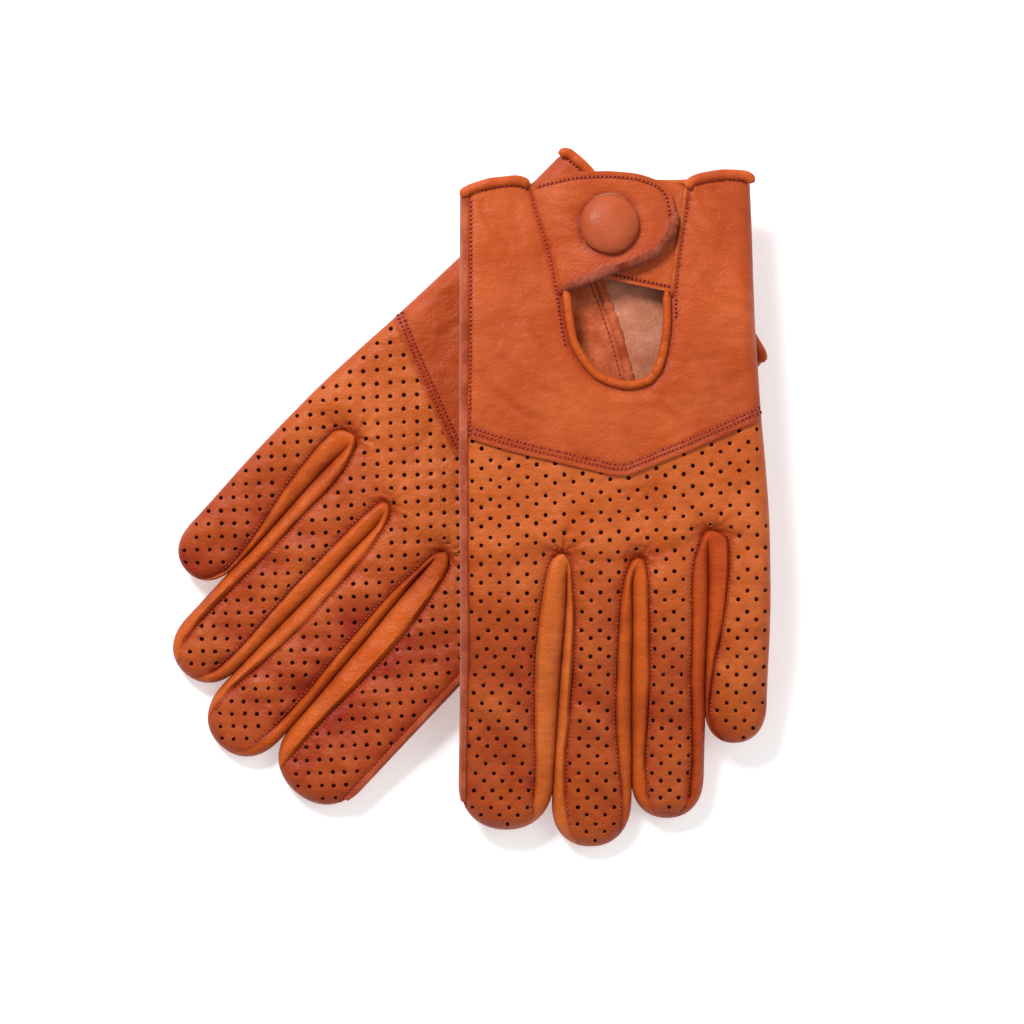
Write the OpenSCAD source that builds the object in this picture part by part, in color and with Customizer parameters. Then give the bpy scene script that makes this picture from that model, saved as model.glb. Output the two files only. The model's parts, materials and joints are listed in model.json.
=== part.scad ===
// A pair of unlined leather driving gloves, laid flat with the backs up and the thumbs tucked under.
// The left-hand glove lies across the right-hand one. Both are drawn by the same modules, as a
// left-hand glove, and the right-hand one is its mirror image.
//
// Glove frame: the cuff is at y = 0, the fingers point to -Y, the index side is at -X, and z = 0 is
// the underside of the palm. The palm is held up by the thumb and slopes down to the table at the
// cuff and at the fingertips.

/* [Leather] */
// Thickness of the leather
leather = 1.0; // [0.8:0.1:1.1]
// Diameter of a rolled cuff hem
hem_d = 2.8; // [2.2:0.1:3.0]
// Width of a side seam
seam_w = 2.0; // [1.5:0.1:2.5]
// Free space between pieces that move past each other
free_gap = 0.4; // [0.3:0.05:0.5]

/* [Hand] */
// Cuff edge on the index side, from the glove's origin
cuff_index_x = 53; // [51:0.5:54]
// Cuff edge on the little finger's side
cuff_little_x = 47.6; // [46:0.2:49]
// Side edge at the knuckles, index side
knuckle_index_x = 52.4; // [51.5:0.1:53]
// Side edge at the knuckles, little finger's side
knuckle_little_x = 53; // [52.8:0.1:54]
// Height of the space for the hand
hand_room = 6.8; // [6:0.2:8]

/* [Back of the hand] */
// Distance from the cuff to the yoke's edge on the index side
v_index_y = 88; // [86:1:92]
// Distance from the cuff to the yoke's edge on the little finger's side
v_little_y = 82; // [80:1:86]
// Distance from the cuff to the point of the V
v_tip_y = 102; // [98:1:106]
// Place of the point of the V across the hand
v_tip_x = 2; // [0:0.5:4]
// How far the yoke laps over the perforated back
yoke_lap = 6; // [4:0.5:8]
// Distance between the two rows of stitching on the V
row_pitch = 1.7; // [1.4:0.1:2]
// Thickness of the thread
thread_d = 0.5; // [0.4:0.1:0.6]

/* [Keyhole] */
// Width of the keyhole over its piping
keyhole_w = 37.2; // [36:0.2:38]
// Distance from the cuff to the bottom of the keyhole
keyhole_bottom_y = 72.5; // [70:0.5:75]
// Radius of the keyhole's round bottom
keyhole_r = 13.8; // [12:0.2:15]
// Diameter of the rolled piping
piping_d = 2.8; // [2.4:0.1:3.2]

/* [Snap] */
// Diameter of the leather-covered dome
dome_d = 20.6; // [18:0.2:21]
// Height of the dome
dome_h = 4.4; // [4:0.1:5]
// Height between the underlap and the flap, where the socket and stud meet
snap_room = 2.5; // [2.4:0.1:3]
// Diameter of the stud's post
stud_d = 6.0; // [5:0.2:6.4]
// Diameter of the socket
socket_d = 11; // [10:0.5:12]
// Diameter of the rivet shanks
shank_d = 3.0; // [2.5:0.1:3.4]

/* [Fingers] */
// Gap between neighbouring fingers
finger_gap = 0.8; // [0.7:0.1:1]
// Distance from the cuff to the crotches
crotch_y = 130; // [128:1:132]
// Distance from the cuff to the little finger's crotch
little_crotch_y = 122; // [120:1:124]
// Height of the space inside the thumb
thumb_room = 5.0; // [4.2:0.1:5.2]
// Length of the thumb between its end radii
thumb_reach = 50; // [44:1:51]
// Half the width of the thumb
thumb_r = 13; // [11:0.5:13]

/* [Pair] */
// Angle of the lower glove about the vertical
rear_turn = 43; // [41:1:45]
// How far the upper glove dips towards its fingertips
front_pitch = 1.5; // [1:0.1:2]
// How far the upper glove dips towards its little finger
front_roll = 4.0; // [3.5:0.1:4.5]
// Height of the upper glove's origin above the table
front_lift = 28.2; // [28.1:0.1:32]
// How far the upper glove's fingertips hang below its palm
front_tip_drop = 22.2; // [15:0.2:22.4]

/* [Hidden] */
$fn = 48;
hull_fn = 32;
SIDES = ["left", "right"];
FINGERS = ["index", "middle", "ring", "little"];
HAND_PIECES = [
  "palm_panel", "back_panel", "yoke", "side_seams", "fourchette_roots", "piping", "cuff_hems",
  "seam_stitching", "underlap", "stud_rivet", "snap_stud", "flap", "snap_cap", "snap_cover",
  "snap_socket", "thumb_upper", "thumb_lower"
];
FINGER_PIECES = ["back", "palm", "fourchettes"];

// Places of the two gloves' origins on the table
rear_place = [62.852, 86.702];
front_place = [47.552, 108.402];

// Each finger: its left edge, its width, the distance from the cuff to its tip and to its fold,
// and the radius of its tip
finger_x = [-knuckle_index_x, -18.2, 6.1, 31.6];
finger_w = [33.4, 23.5, 24.7, knuckle_little_x - 31.6];
finger_tip_y = [226, 232, 222, 195];
finger_fold_y = [162, 162, 158, 148];
finger_tip_r = [12.5, 10.5, 11, 10];
finger_taper_y = [205, 212, 203, 176];

// Levels above the underside of the palm
back_low = leather + hand_room;
back_top = back_low + leather;
yoke_top = back_top + leather;
flap_low = back_top + snap_room;
flap_top = flap_low + leather;

// The thumb lies below the palm, and its thickness is how far the palm stands above the table
thumb_top = -free_gap;
thumb_low = thumb_top - 2 * leather - thumb_room;
arch = -thumb_low;
thumb_root = [-38, -84];
thumb_tuck = 40;
thumb_hole_r = 10;

// The line that the palm's underside follows from the cuff to the fingertips
cuff_knee = 50;
knuckle_knee = 147;
cuff_rise = atan(arch / cuff_knee);
function palm_line() = [
  [20, -arch * (20 + cuff_knee) / cuff_knee],
  [-cuff_knee, 0],
  [-knuckle_knee, 0],
  [-240, -$tip_drop * (240 - knuckle_knee) / (finger_tip_y[1] - knuckle_knee)]
];

// The flap's root seam, along which it folds, and the snap's centre
flap_root = [[-28.6, -2.8], [-19.1, -38]];
snap_centre = [-3.2, -15.9];

// Metal parts of the snap: the stud's and the rivet's flanges, how far the rivet's shank reaches,
// the thickness of the cap's and the socket's roofs, and the cap's clearance under its cover
flange_h = 0.4;
flange_d = 9;
shank_top = back_top + 1;
cap_roof = 0.5;
socket_roof = 0.5;
cap_fit = 0.1;

colour_leather = "#cd5f32";
colour_perforated = "#cd6937";
colour_light = "#d2804b";
colour_thread = "#8c2314";
colour_metal = "#b9b4aa";

// ---- How the gloves lie ----

module lay(side) {
  $tip_drop = side == "left" ? front_tip_drop : arch;
  if (side == "left")
    translate([front_place.x, front_place.y, front_lift]) rotate([front_pitch, front_roll, 0]) children();
  else
    translate([rear_place.x, rear_place.y, arch]) rotate([0, 0, -rear_turn]) mirror([1, 0, 0]) children();
}

// A layer of leather between two levels, which follows the line of the palm
module sheet(low, high) {
  line = palm_line();
  outline = concat(
    [for (point = line) [point.x, point.y + low]],
    [for (i = [len(line) - 1 : -1 : 0]) [line[i].x, line[i].y + high]]
  );
  intersection() {
    translate([0, 0, -30]) linear_extrude(60) children();
    rotate([90, 0, 90]) linear_extrude(140, center = true) polygon(outline);
  }
}

// The plane of the cuff, which slopes down to the table
module on_cuff() {
  translate([0, -cuff_knee, 0]) rotate([-cuff_rise, 0, 0]) translate([0, cuff_knee, 0]) children();
}

// ---- Outlines, seen from above ----

// The hand down to the fold of each finger, slit between the fingers
module hand_outline() {
  slit_x = [for (i = [1:3]) finger_x[i] - finger_gap];
  difference() {
    polygon([
      [-cuff_index_x, 0], [cuff_little_x, 0], [50, -v_little_y], [knuckle_little_x, -little_crotch_y],
      [knuckle_little_x, -finger_fold_y[3]], [slit_x[2], -finger_fold_y[3]],
      [slit_x[2], -finger_fold_y[2]], [slit_x[1], -finger_fold_y[2]],
      [slit_x[1], -finger_fold_y[1]], [-knuckle_index_x, -finger_fold_y[0]]
    ]);
    for (i = [0:2]) {
      top = i == 2 ? little_crotch_y : crotch_y;
      translate([slit_x[i], -180]) square([finger_gap, 180 - top]);
    }
  }
}

// Everything on the cuff's side of the V, moved by an amount along the hand
module cuff_side_of_v(shift) {
  polygon([
    [-70, 40], [-70, -v_index_y + 2 + shift], [v_tip_x, -v_tip_y + shift],
    [70, -v_little_y + 8 + shift], [70, 40]
  ]);
}

module keyhole() {
  hull() {
    translate([4.2, -keyhole_bottom_y + keyhole_r]) circle(keyhole_r, $fn = hull_fn);
    translate([-keyhole_w / 2 - 0.4, -50]) square([keyhole_w, 11.5]);
  }
}

module cuff_notch() {
  polygon([
    [-31.9, 5], [-29.5, -4], [-26.5, -15], [-21.4, -33.3], [-19, -40],
    [18.2, -40], [19.7, -24.2], [22, -11.6], [23.5, 5]
  ]);
}

// The tongue that the snap's flap is cut to, round at its free end
module flap_outline() {
  difference() {
    hull() {
      translate([8.8, -13.5]) circle(11.6, $fn = hull_fn);
      translate([-6, -9]) circle(11, $fn = hull_fn);
      polygon([[-28.6, -2.8], [-19.1, -38], [-9, -33]]);
    }
    polygon([[-60, 10], flap_root[0], flap_root[1], [-60, -50]]);
  }
}

module underlap_outline() {
  polygon([[22.6, -2], [21.7, -11.6], [19.4, -24.2], [17.6, -37.8], [-6.6, -33.6], [-12, -24], [-10, -6]]);
}

module finger_outline(i) {
  base_y = -finger_fold_y[i] - finger_gap;
  hull() {
    translate([finger_x[i], -finger_taper_y[i]]) square([finger_w[i], finger_taper_y[i] + base_y]);
    translate([finger_x[i] + finger_w[i] / 2, -finger_tip_y[i] + finger_tip_r[i]])
      circle(finger_tip_r[i], $fn = hull_fn);
  }
}

module thumb_outline() {
  hull() {
    translate(thumb_root) circle(thumb_r, $fn = hull_fn);
    translate(thumb_root + thumb_reach * [sin(thumb_tuck), -cos(thumb_tuck)])
      circle(thumb_r - 1, $fn = hull_fn);
  }
}

// ---- Hand ----

module palm_panel() {
  color(colour_leather) sheet(0, leather) difference() {
    hand_outline();
    translate(thumb_root) circle(thumb_hole_r);
  }
}

module back_panel() {
  color(colour_perforated) sheet(back_low, back_top) difference() {
    hand_outline();
    cuff_side_of_v(yoke_lap);
  }
}

module yoke() {
  color(colour_leather) sheet(back_top, yoke_top) difference() {
    intersection() {
      hand_outline();
      cuff_side_of_v(0);
    }
    keyhole();
    cuff_notch();
  }
}

// The band along each side of the hand, where back and palm are sewn together
module side_bands() {
  difference() {
    hand_outline();
    polygon([
      [-cuff_index_x + seam_w, 1], [cuff_little_x - seam_w, 1], [50 - seam_w, -v_little_y],
      [knuckle_little_x - seam_w, -little_crotch_y], [knuckle_little_x - seam_w, -200],
      [-knuckle_index_x + seam_w, -200]
    ]);
  }
}

module side_seams() {
  color(colour_leather) {
    sheet(leather, back_low) side_bands();
    sheet(back_low, back_top) intersection() {
      side_bands();
      cuff_side_of_v(yoke_lap);
    }
  }
}

// One strip for each gap between two fingers, folded round the crotch
module fourchette_roots() {
  color(colour_light) sheet(leather, back_low) for (i = [0:2]) {
    top = i == 2 ? little_crotch_y : crotch_y;
    right_edge = finger_x[i] + finger_w[i];
    translate([right_edge - leather, -finger_fold_y[i]]) square([leather, finger_fold_y[i] - top]);
    translate([finger_x[i + 1], -finger_fold_y[i + 1]]) square([leather, finger_fold_y[i + 1] - top]);
    translate([right_edge - leather, -top])
      square([finger_x[i + 1] - right_edge + 2 * leather, leather]);
  }
}

module piping() {
  color(colour_light) sheet(back_top - 0.5, back_top - 0.5 + piping_d) difference() {
    keyhole();
    offset(delta = -piping_d) keyhole();
    translate([-40, -38.5 - piping_d - 0.1]) square([80, 20]);
  }
}

module cuff_hem(from_x, to_x, level) {
  on_cuff() translate([from_x, hem_d / 2, level]) rotate([0, 90, 0]) cylinder(d = hem_d, h = to_x - from_x);
}

module cuff_hems() {
  hem_level = (back_top + yoke_top) / 2;
  color(colour_leather) {
    cuff_hem(-cuff_index_x - 2, -29.5, hem_level);
    cuff_hem(23.4, cuff_little_x + 2, hem_level);
    cuff_hem(-cuff_index_x, cuff_little_x, hem_d / 2 + leather);
  }
}

module seam_stitching() {
  first_row = 1.8;
  color(colour_thread) sheet(yoke_top, yoke_top + 0.3) intersection() {
    for (i = [0:1]) difference() {
      cuff_side_of_v(first_row + i * row_pitch);
      cuff_side_of_v(first_row + i * row_pitch + thread_d);
    }
    offset(delta = -seam_w) hand_outline();
  }
}

// ---- Snap closure, in the plane of the cuff ----

module underlap() {
  color(colour_leather) on_cuff() translate([0, 0, back_low]) linear_extrude(leather) difference() {
    underlap_outline();
    translate(snap_centre) circle(d = shank_d);
  }
}

module at_snap(level) {
  on_cuff() translate([snap_centre.x, snap_centre.y, level]) children();
}

module stud_rivet() {
  color(colour_metal) {
    at_snap(back_low - flange_h) cylinder(d = flange_d, h = flange_h);
    at_snap(back_low) cylinder(d = shank_d, h = shank_top - back_low);
  }
}

module snap_stud() {
  post_h = snap_room - flange_h - 0.8;
  color(colour_metal) at_snap(back_top) difference() {
    union() {
      cylinder(d = flange_d, h = flange_h);
      cylinder(d = stud_d, h = flange_h + post_h);
    }
    translate([0, 0, -1]) cylinder(d = shank_d, h = 1 + shank_top - back_top);
  }
}

module flap() {
  color(colour_leather) on_cuff() translate([0, 0, flap_low]) linear_extrude(leather) difference() {
    flap_outline();
    translate(snap_centre) circle(d = shank_d);
  }
}

// The space under a dome of a given diameter and height
module dome(diameter, height) {
  ball_r = (diameter * diameter / 4 + height * height) / (2 * height);
  intersection() {
    translate([0, 0, height - ball_r]) sphere(ball_r);
    cylinder(d = diameter + 1, h = height);
  }
}

// A domed metal shell under the leather cover, with the shank that holds the socket
module snap_cap() {
  cap_d = dome_d - 2 * leather - 2 * cap_fit;
  cap_h = dome_h - leather - cap_fit;
  color(colour_metal) {
    at_snap(flap_top) difference() {
      dome(cap_d, cap_h);
      translate([0, 0, -0.01]) dome(cap_d - 2 * cap_roof, cap_h - cap_roof);
    }
    at_snap(flap_low - socket_roof) cylinder(d = shank_d, h = socket_roof + leather + cap_h - cap_roof);
  }
}

module snap_cover() {
  color(colour_leather) at_snap(flap_top) difference() {
    dome(dome_d, dome_h);
    translate([0, 0, -0.01]) dome(dome_d - 2 * leather, dome_h - leather + 0.02);
  }
}

module snap_socket() {
  socket_h = snap_room - flange_h - 0.3;
  color(colour_metal) at_snap(flap_low - socket_h) difference() {
    cylinder(d = socket_d, h = socket_h);
    translate([0, 0, -1]) cylinder(d = stud_d + 2 * free_gap, h = 1 + socket_h - socket_roof);
    cylinder(d = shank_d, h = socket_h + 1);
  }
}

// ---- Thumb ----

module thumb_upper() {
  color(colour_leather) translate([0, 0, thumb_top - leather]) linear_extrude(leather) difference() {
    thumb_outline();
    translate(thumb_root) circle(thumb_hole_r);
  }
}

module thumb_lower() {
  color(colour_leather) {
    translate([0, 0, thumb_low]) linear_extrude(leather) thumb_outline();
    translate([0, 0, thumb_low + leather]) linear_extrude(thumb_room) difference() {
      thumb_outline();
      offset(delta = -leather) thumb_outline();
    }
  }
}

// ---- Fingers, from the fold to the tip ----

module finger_back(i) {
  color(colour_perforated) sheet(back_low, back_top) finger_outline(i);
}

module finger_palm(i) {
  color(colour_leather) sheet(0, leather) finger_outline(i);
}

module finger_fourchettes(i) {
  color(colour_light) sheet(leather, back_low) difference() {
    finger_outline(i);
    offset(delta = -leather) finger_outline(i);
    translate([finger_x[i] + leather, -finger_taper_y[i] + 20])
      square([finger_w[i] - 2 * leather, finger_taper_y[i] - 20]);
  }
}

for (side = SIDES) {
  lay(side) palm_panel();
  lay(side) back_panel();
  lay(side) yoke();
  lay(side) side_seams();
  lay(side) fourchette_roots();
  lay(side) piping();
  lay(side) cuff_hems();
  lay(side) seam_stitching();
  lay(side) underlap();
  lay(side) stud_rivet();
  lay(side) snap_stud();
  lay(side) flap();
  lay(side) snap_cap();
  lay(side) snap_cover();
  lay(side) snap_socket();
  lay(side) thumb_upper();
  lay(side) thumb_lower();
  for (i = [0:3]) {
    lay(side) finger_back(i);
    lay(side) finger_palm(i);
    lay(side) finger_fourchettes(i);
  }
}
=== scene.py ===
"""A pair of perforated leather driving gloves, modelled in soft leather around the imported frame.

Both gloves are drawn as a left-hand glove, in the glove's own frame and in millimetres: the cuff is
at y = 0, the fingers point to -Y, the index side is at -X and z = 0 is the underside of the palm.
A Glove object carries that frame to its place in the pair, mirrored for the right hand.
"""
import json
import math

import bpy
import numpy as np
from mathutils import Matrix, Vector
from mathutils.geometry import delaunay_2d_cdt


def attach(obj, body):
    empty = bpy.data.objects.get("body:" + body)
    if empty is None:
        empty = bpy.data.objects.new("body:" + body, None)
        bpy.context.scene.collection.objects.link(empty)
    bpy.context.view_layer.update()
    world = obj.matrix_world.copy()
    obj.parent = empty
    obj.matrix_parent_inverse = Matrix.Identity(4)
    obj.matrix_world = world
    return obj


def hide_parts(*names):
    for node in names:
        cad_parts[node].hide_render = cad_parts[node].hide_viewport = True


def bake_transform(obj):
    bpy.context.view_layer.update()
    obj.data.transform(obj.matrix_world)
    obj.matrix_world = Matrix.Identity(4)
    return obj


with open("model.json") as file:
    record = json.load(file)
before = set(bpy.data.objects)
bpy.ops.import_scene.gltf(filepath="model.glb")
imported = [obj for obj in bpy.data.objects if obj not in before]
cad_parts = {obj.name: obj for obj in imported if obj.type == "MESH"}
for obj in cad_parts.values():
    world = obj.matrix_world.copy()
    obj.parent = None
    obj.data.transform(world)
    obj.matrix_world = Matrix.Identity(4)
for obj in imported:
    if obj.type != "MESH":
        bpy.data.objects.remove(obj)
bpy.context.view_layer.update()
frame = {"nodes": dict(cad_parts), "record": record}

MM = 0.001
SIDES = ("left", "right")
FINGERS = ("index", "middle", "ring", "little")
JOINTS = {joint["name"]: joint for joint in frame["record"]["behaviour"]["joints"]}

# ---- Driving sizes of one glove, as the frame has them ----

LEATHER, YOKE_LEATHER, THIN_LEATHER = 0.9, 1.0, 0.7
ARCH = 7.4            # how far the palm stands above the table
TOP = 8.8             # level of the perforated back above the palm's underside
YOKE_TOP = 9.8
FLAP_TOP = 12.3
MIDDLE = 4.2          # level of the side edges, half way up
CUFF_KNEE, KNUCKLE_KNEE, TIP_Y = 50.0, 147.0, 232.0
TIP_DROP = {"left": 22.2, "right": ARCH}
THUMB_ROOT = (-38.0, -84.0)
THUMB_TUCK, THUMB_REACH, THUMB_R = math.radians(40), 50.0, 13.0
SNAP_CENTRE = (-3.2, -15.9)
DOME_R, DOME_H = 10.3, 4.4

# Perforation: rows of holes along the hand, every second one half a pitch over
HOLE_R, HOLE_PITCH, FIRST_HOLE_X = 0.76, 6.35, -31.4
ROW_SHIFT = {"left": 2.65, "right": 3.25}
ROW_SLOPE = {"left": 0.07, "right": 0.0}
FINGER_TONE = {"left": [(-40, 0.42), (-7, 0.46), (19, 0.36), (42, 0.06)],
               "right": [(-40, 0.68), (0, 0.56), (42, 0.5)]}
STITCH = 1.45         # pitch of the stitches
FINGER_STITCH = 0.72  # their size on the fingers
FOLD_HALF = 7         # half the span about a finger's fold line, whose end points are worked out but not used

# ---- Outlines, as (y, x) points from the cuff to the fingertips ----

INDEX_SIDE = [(2, -53.4), (-60, -53.9), (-100, -54.0), (-132, -53.6), (-200, -53.0), (-232, -53.0)]
RIDGE_INNER = [(2, -51.4), (-60, -51.9), (-100, -52.2), (-132, -52.2), (-165, -51.8), (-232, -51.8)]
KNUCKLES = [(-54, -133), (-34, -130.5), (-19.6, -127.6), (-6, -131.5), (7.6, -129), (20, -126), (32, -119.8),
            (42, -122), (54, -127)]
LITTLE_SIDE = [(2, 46.2), (-17, 46.7), (-47, 47.4), (-65, 48.5), (-83, 49.8), (-98, 51.2),
               (-122, 52.8), (-150, 53.3), (-180, 52.8), (-200, 52.8)]
V_LEFT = [(-54, -89.0), (-38.6, -93.7), (-23.6, -97.4), (-12.4, -99.9), (0.6, -102.4), (3.2, -102.3)]
V_RIGHT = [(3.2, -102.3), (5.2, -101.6), (13.8, -98.2), (28.7, -92.0), (42, -86.2), (54, -80.6)]

# The gap between each two fingers: the seam on its left, the seam on its right, and the fold where
# the two rolled strips meet
GAPS = [
    {"left": [(-129.5, -19.6), (-130.4, -21.8), (-133, -23.6), (-140, -25.3), (-156, -27.4),
              (-170, -28.2), (-186, -28.0), (-203, -27.4), (-222, -28.2)],
     "right": [(-129.5, -19.6), (-130.6, -17.2), (-133.5, -15.9), (-140, -15.4), (-153, -14.6),
               (-168, -14.9), (-186, -15.7), (-201, -16.8), (-216, -16.6), (-226, -14.8), (-231, -11.5)],
     "fold": [(-129.5, -19.0), (-133, -17.4), (-140, -17.3), (-156, -18.0), (-170, -19.0),
              (-190, -19.9), (-210, -20.8), (-232, -21.5)]},
    {"left": [(-130.9, 7.6), (-131.8, 4.9), (-134.5, 3.4), (-140, 2.0), (-153, 0.6), (-168, 0.2),
              (-186, 0.2), (-203, 1.7), (-218, 3.2), (-226, 2.4), (-231, 0)],
     "right": [(-130.9, 7.6), (-131.8, 9.6), (-134.5, 10.3), (-142, 10.9), (-158, 11.3),
               (-175, 11.7), (-190, 11.3), (-200, 10.9), (-212, 11.6), (-218, 13.5), (-221.5, 16.5)],
     "fold": [(-130.9, 7.4), (-134, 6.2), (-140, 5.0), (-153, 5.4), (-170, 5.5), (-185, 5.9),
              (-200, 6.3), (-232, 6.6)]},
    {"left": [(-121.6, 32.2), (-122.3, 29.9), (-125.5, 28.3), (-133, 26.3), (-141, 25.6),
              (-156, 26.0), (-172, 26.0), (-187, 26.7), (-202, 27.1), (-214, 26.5), (-220, 23.0)],
     "right": [(-121.6, 32.2), (-122.6, 36.4), (-126, 38.6), (-133, 38.8), (-141, 38.2), (-150, 37.3),
               (-158, 36.0), (-168, 34.2), (-176, 33.2), (-184, 32.8), (-191, 34.6), (-195, 38.5)],
     "fold": [(-121.6, 31.8), (-126, 31.1), (-140, 31.6), (-155, 31.4), (-170, 31.1), (-190, 31.4),
              (-232, 31.4)]},
]
TIPS = [(-36.5, -226.0), (-7.2, -232.0), (19.2, -222.0), (41.8, -195.6)]
TIP_LENGTH = [17.5, 18.0, 15.5, 14.0]
FOLD_Y = [-162.0, -162.0, -158.0, -148.0]

# Cuff, flap and keyhole, as (x, y)
CUFF_EDGE = [(-52.5, -8.0), (-42, -3.6), (-30, -3.2), (-10, -1.6), (20, -1.8), (30, -1.2), (40, -0.4),
             (46, -2.6)]
CREASES = [[(28, -5), (31, -11), (38, -19)], [(33, -4), (39, -9), (46, -13)],
           [(25, -8), (27, -16), (31, -24)],
           [(-47, -9), (-44, -17), (-38, -24)], [(-36, -6), (-36, -14), (-33, -22)],
           [(24, -58), (31, -66), (34, -76)], [(-46, -70), (-36, -79), (-22, -86)],
           [(-40, -62), (-31, -70), (-20, -75)], [(-30, -50), (-27, -58), (-21, -67)],
           [(6, -78), (16, -80), (24, -86)], [(30, -34), (36, -42), (45, -45)]]
PANEL_LEFT = [(-29.6, 1.0), (-27, -9.3), (-24, -19.1), (-21.4, -28.8), (-19.6, -38.5)]
PANEL_RIGHT = [(23.6, 1.0), (22, -11.6), (20.1, -22.8), (18.7, -33.3), (17.9, -39.3)]
KEYHOLE = [(-19.6, -38.5), (-18.6, -47.0), (-16.9, -56.5), (-13.2, -63.2), (-8.7, -68.5), (-2.7, -71.5),
           (3.3, -72.6), (10.0, -71.1), (14.5, -66.2), (16.8, -58.7), (17.9, -46.8), (17.9, -39.3)]
HEM_LEFT = [(-54.6, -6.0), (-50, -3.6), (-42, -1.6), (-35, -1.0), (-30.2, -2.4)]
HEM_RIGHT = [(23.6, -3.6), (26.0, -1.0), (31, 0.4), (38, 1.3), (44, 1.0), (47.4, -1.4)]
FLAP_TOP_EDGE = [(-30, -2.0), (-22.2, 0.2), (-13.2, 1.9), (-4.2, 2.3), (4.8, 1.7), (10.8, 0.2),
                 (15.6, -2.2), (18.6, -6.6), (19.6, -11.8)]
FLAP_LOW_EDGE = [(19.6, -11.8), (18.4, -18.0), (14.2, -23.8), (8.5, -27.6), (2.0, -30.4),
                 (-4.2, -32.2), (-9.8, -34.4), (-15.0, -36.6), (-19.4, -38.5)]
UNDERLAP_LOW_EDGE = [(-9.0, -33.6), (4.0, -36.4), (17.9, -39.3)]


def through(points):
    """A smooth function through (t, value) points, flat past both ends."""
    pts = sorted(points)
    t = np.array([p[0] for p in pts], float)
    v = np.array([p[1] for p in pts], float)
    steep = np.diff(v) / np.diff(t)
    m = np.zeros_like(v)
    same = steep[1:] * steep[:-1] > 0
    m[1:-1] = np.where(same, 2 * steep[1:] * steep[:-1] / np.where(same, steep[1:] + steep[:-1], 1), 0)
    m[0], m[-1] = steep[0], steep[-1]

    def value(at):
        at = np.clip(np.asarray(at, float), t[0], t[-1])
        i = np.clip(np.searchsorted(t, at) - 1, 0, len(t) - 2)
        h = t[i + 1] - t[i]
        s = (at - t[i]) / h
        return ((2 * s**3 - 3 * s**2 + 1) * v[i] + (s**3 - 2 * s**2 + s) * h * m[i]
                + (3 * s**2 - 2 * s**3) * v[i + 1] + (s**3 - s**2) * h * m[i + 1])
    return value


def even_steps(path, step):
    """How far along a path its points are, and places on it an even step apart."""
    along = np.concatenate([[0], np.cumsum(np.hypot(*np.diff(path, axis=0).T))])
    return along, np.linspace(0, along[-1], max(2, int(round(along[-1] / step)) + 1))


def smooth_path(points, step):
    """Points about a step apart on a smooth curve through (x, y) points."""
    p = np.array(points, float)
    along, at = even_steps(p, step)
    return np.column_stack([through(list(zip(along, values)))(at) for values in p.T])


def respace(path, step):
    """The same path with its points an even step apart."""
    along, at = even_steps(path, step)
    return np.column_stack([np.interp(at, along, values) for values in path.T])


def shifted(path, by):
    """The path moved sideways, to its left for a positive amount."""
    d = np.gradient(path, axis=0)
    d /= np.linalg.norm(d, axis=1)[:, None]
    return path + by * np.column_stack([-d[:, 1], d[:, 0]])


def distance_to(xy, path):
    """How far each point is from a path."""
    best = np.full(len(xy), 1e9)
    for a, b in zip(path[:-1], path[1:]):
        ab = b - a
        t = np.clip(((xy - a) @ ab) / max(ab @ ab, 1e-12), 0, 1)
        gap = xy - a - t[:, None] * ab
        best = np.minimum(best, gap[:, 0]**2 + gap[:, 1]**2)
    return np.sqrt(best)


def is_inside(xy, loop):
    """Which points lie inside a closed outline."""
    hit = np.zeros(len(xy), bool)
    x, y = xy[:, 0], xy[:, 1]
    for (ax, ay), (bx, by) in zip(loop, np.roll(loop, -1, axis=0)):
        if ay != by:
            hit ^= ((ay > y) != (by > y)) & (x < (bx - ax) * (y - ay) / (by - ay) + ax)
    return hit


def wobble(x, y, size, seed):
    """Smooth noise from -1 to 1, with bumps about a size across."""
    u, v = np.asarray(x, float) / size, np.asarray(y, float) / size
    i, j = np.floor(u), np.floor(v)
    fu, fv = u - i, v - j
    fu, fv = fu * fu * (3 - 2 * fu), fv * fv * (3 - 2 * fv)

    def corner(a, b):
        n = np.sin(a * 127.1 + b * 311.7 + seed * 74.7) * 43758.5453
        return 2 * (n - np.floor(n)) - 1
    low = corner(i, j) * (1 - fu) + corner(i + 1, j) * fu
    high = corner(i, j + 1) * (1 - fu) + corner(i + 1, j + 1) * fu
    return low * (1 - fv) + high * fv


def bell(d, width):
    """A smooth hump, 1 where d is 0 and nearly gone at twice the width."""
    return np.exp(-(d / width)**2)


def closed(outline):
    return np.vstack([outline, outline[:1]])


def beside(side, y):
    """Points (x, y) of a curve that gives x at y."""
    return np.column_stack([side(y), y])


def nearest(xy, paths):
    """How far each point is from the nearest of some paths."""
    return np.min([distance_to(xy, path) for path in paths], axis=0)


def clear_of(xy, centres, gap):
    """Which points are further than a gap from every centre."""
    apart = [np.hypot(*(xy - centre).T) > gap for centre in centres]
    return np.all(apart, axis=0) if apart else np.ones(len(xy), bool)


def rounded(d, r):
    """The height of a round shoulder, from 0 at an edge to 1 at r from it."""
    return np.sqrt(np.clip(1 - (1 - np.clip(d / r, 0, 1))**2, 0, 1))


def ramp(t, soft):
    """Zero below 0 and t above it, with a soft corner."""
    return (t + np.sqrt(t * t + soft * soft)) / 2


# ---- Shapes shared by both gloves ----

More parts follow.
